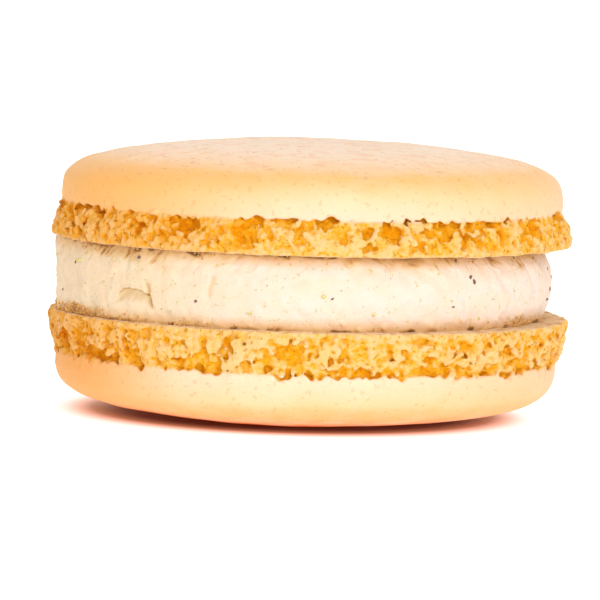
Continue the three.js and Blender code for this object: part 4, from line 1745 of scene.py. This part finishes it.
# %% Baked shell material
SKIN_GRAIN, FOAM_GRAIN, FLAKE_RELIEF = 0.3, 1.0, 0.12  # shares of the bump
SHELL_GRAIN = dict(Size=0.3, Roughness=0.7)
SHELL_BUMP = dict(distance=0.4, strength=0.9)  # distance in mm
SKIN_ROUGHNESS, FOAM_ROUGHNESS = 0.5, 0.8
SKIN_GLOSS, FOAM_GLOSS = 0.4, 0.05  # shares of full specular reflection
BLOOM = 0.3  # sheen of the upper skin
BLOOM_FROM = (0.1, 0.6)  # the shares of the dome's height between which the bloom sets in
BLOOM_ROUGHNESS = 0.3
SHELL_LIGHT = dict(weight=0.15, radius=(1.0, 0.45, 0.15), scale=0.5)  # scale in mm


def baked_shell(name, shell):
    """The material of one shell: foam colours, with skin colours where it is skin."""
    material, tree, shader = principled(name)
    above, moist, skin = (stored(tree, name) for name in ("above", "moist", "skin"))
    side_shade = side_shading(tree, shell)
    flakes = flakes_of(tree, above)
    skin_colour = skin_colours(tree, above, side_shade, shell, flakes)
    foam_colour = foam_colours(tree, moist, side_shade)
    tree.links.new(mix_colour(tree, skin, foam_colour, skin_colour), shader.inputs["Base Color"])

    rough = place_group(tree, grain, **SHELL_GRAIN)
    height = math_node(tree, "MULTIPLY", rough, share_node(tree, skin, FOAM_GRAIN, SKIN_GRAIN))
    height = math_node(tree, "MULTIPLY_ADD", math_node(tree, "MULTIPLY", flakes, skin), FLAKE_RELIEF, height)
    add_bump(tree, shader, height, **SHELL_BUMP)
    tree.links.new(share_node(tree, skin, FOAM_ROUGHNESS, SKIN_ROUGHNESS), shader.inputs["Roughness"])
    tree.links.new(share_node(tree, skin, FOAM_GLOSS, SKIN_GLOSS), shader.inputs["Specular IOR Level"])
    if not shell.turned_over:
        bloom = math_node(tree, "MULTIPLY", shade_band(tree, above, *BLOOM_FROM), BLOOM)
        tree.links.new(bloom, shader.inputs["Sheen Weight"])
        shader.inputs["Sheen Roughness"].default_value = BLOOM_ROUGHNESS
    let_light_in(shader, **SHELL_LIGHT)
    return material


print("the skin's grain is", round(SKIN_GRAIN * SHELL_BUMP["distance"], 2), "mm high at most")

# %% Each piece's material and solid


def finish(piece, material, node=None):
    """Gives a piece its material, hides the solid that it stands for, and parents it to what carries it."""
    piece.data.materials.append(material)
    if node:
        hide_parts(node)
    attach(piece, "root")


for piece, shell, name in zip(shells, (TOP, BOTTOM), ("baked_upper_shell", "baked_lower_shell")):
    finish(piece, baked_shell(name, shell), shell.node)
print("finished", [piece.name for piece in shells])

# %% [markdown]
# ## Cream, seeds and crumbs
# Buttercream is nearly white with a warm tint, satin where the knife smoothed it. Light goes a
# little way into it, so it has some subsurface scattering. Specks of vanilla too fine to model
# are coloured dots, and the stored staining, partly painted shadow, goes from a yellow smear to
# dark brown in the seams. Painted shade makes the cream yellower on its left and darker in the
# scoop, and painted shade with a painted reflection of the shells warms it near both.

# %% Cream material
CREAM_COLOUR = (0.80, 0.64, 0.54, 1)
CREAM_SHADED_LEFT = (0.73, 0.60, 0.42, 1)
LEFT_SHADE_FROM, LEFT_SHADE_TO = -2.0, -16.0  # mm along X: painted shade makes the cream yellower and darker on one side
CREAM_WARM = (0.79, 0.58, 0.38, 1)
CREAM_SEAM_SHADE = (0.70, 0.41, 0.16, 1)
SEAM_SHADE_BAND = (0.3, 0.5)  # shares of the thickness, from its middle, between which painted shade and a painted reflection of the shells warm it
CREAM_SPECK = (0.40, 0.40, 0.15, 1)
STAIN_AND_SHADE_STOPS = (
    # how much biscuit and painted shade there is, colour
    (0.0, (0.70, 0.53, 0.25)),
    (0.5, (0.62, 0.36, 0.13)),
    (0.8, (0.32, 0.13, 0.03)),
    (1.0, (0.09, 0.035, 0.01)),
)
SCOOPED_OIL_AND_SHADE = (0.66, 0.48, 0.23, 1)  # oily where the knife pressed, and darker in the scoop as painted shade
CREAM_CLOUDS = dict(Size=1.8, Edge=0.2)
CREAM_SPECKS = dict(Size=0.36, Level=0.67)
CREAM_COVERS = dict(clouds=0.45, seam=0.8, scooped=0.7, stain=0.9, specks=0.5)  # how much each hides
STAIN_AND_SHADE_BAND = (0.0, 0.6)  # how much biscuit and painted shade there is where the staining begins to cover, and fully covers
CREAM_GRAIN = dict(Size=0.7, Roughness=0.7)
CREAM_BUMP = dict(distance=0.2, strength=0.8)  # distance in mm
CREAM_ROUGHNESS, CREAM_GLOSS = 0.5, 0.35
CREAM_LIGHT = dict(weight=0.15, radius=(1.0, 0.6, 0.35), scale=0.6)  # scale in mm


def buttercream(name):
    """The cream's material, with its stains, painted shade and fine specks."""
    material, tree, shader = principled(name)
    shaded_left = shade_band(tree, along_x(tree), LEFT_SHADE_FROM * MM, LEFT_SHADE_TO * MM)
    from_middle = math_node(tree, "ABSOLUTE", math_node(tree, "SUBTRACT", stored(tree, "share"), 0.5))
    stain = stored(tree, "stain")
    colour = lay_over(tree, mix_colour(tree, shaded_left, CREAM_COLOUR, CREAM_SHADED_LEFT), (
        (place_group(tree, blotches, **CREAM_CLOUDS), CREAM_COVERS["clouds"], CREAM_WARM),
        (shade_band(tree, from_middle, *SEAM_SHADE_BAND), CREAM_COVERS["seam"], CREAM_SEAM_SHADE),
        (stored(tree, "scooped"), CREAM_COVERS["scooped"], SCOOPED_OIL_AND_SHADE),
        (shade_band(tree, stain, *STAIN_AND_SHADE_BAND), CREAM_COVERS["stain"], colour_ramp(tree, stain, STAIN_AND_SHADE_STOPS)),
        (place_group(tree, specks, **CREAM_SPECKS), CREAM_COVERS["specks"], CREAM_SPECK),
    ))
    tree.links.new(colour, shader.inputs["Base Color"])
    add_bump(tree, shader, place_group(tree, grain, **CREAM_GRAIN), **CREAM_BUMP)
    shader.inputs["Roughness"].default_value = CREAM_ROUGHNESS
    shader.inputs["Specular IOR Level"].default_value = CREAM_GLOSS
    let_light_in(shader, **CREAM_LIGHT)
    return material


cream_material = buttercream("vanilla_buttercream")
print("the cream's material has", len(cream_material.node_tree.nodes), "nodes")

# %% Materials of the small things
GRAIN_PATCHES = dict(Size=0.25, Edge=0.15)
SEED_COLOURS = (0.09, 0.05, 0.045, 1), (0.2, 0.11, 0.09, 1)
FLECK_COLOURS = (0.54, 0.48, 0.11, 1), (0.70, 0.62, 0.30, 1)
CRUMB_COLOURS = (0.78, 0.45, 0.14, 1), (0.48, 0.22, 0.05, 1)


def grain_material(name, colour, other, roughness):
    """A small thing's finish, which goes from one colour to the other in patches."""
    material, tree, shader = principled(name)
    patches = place_group(tree, blotches, **GRAIN_PATCHES)
    tree.links.new(mix_colour(tree, patches, colour, other), shader.inputs["Base Color"])
    shader.inputs["Roughness"].default_value = roughness
    return material


finish(cream, cream_material, "filling")
finish(seeds, grain_material("vanilla_seed", *SEED_COLOURS, roughness=0.5))
finish(flecks, grain_material("almond_fleck", *FLECK_COLOURS, roughness=0.6))
finish(crumbs, grain_material("biscuit_crumb", *CRUMB_COLOURS, roughness=0.8))
print("finished", [piece.name for piece in (cream, seeds, flecks, crumbs)])
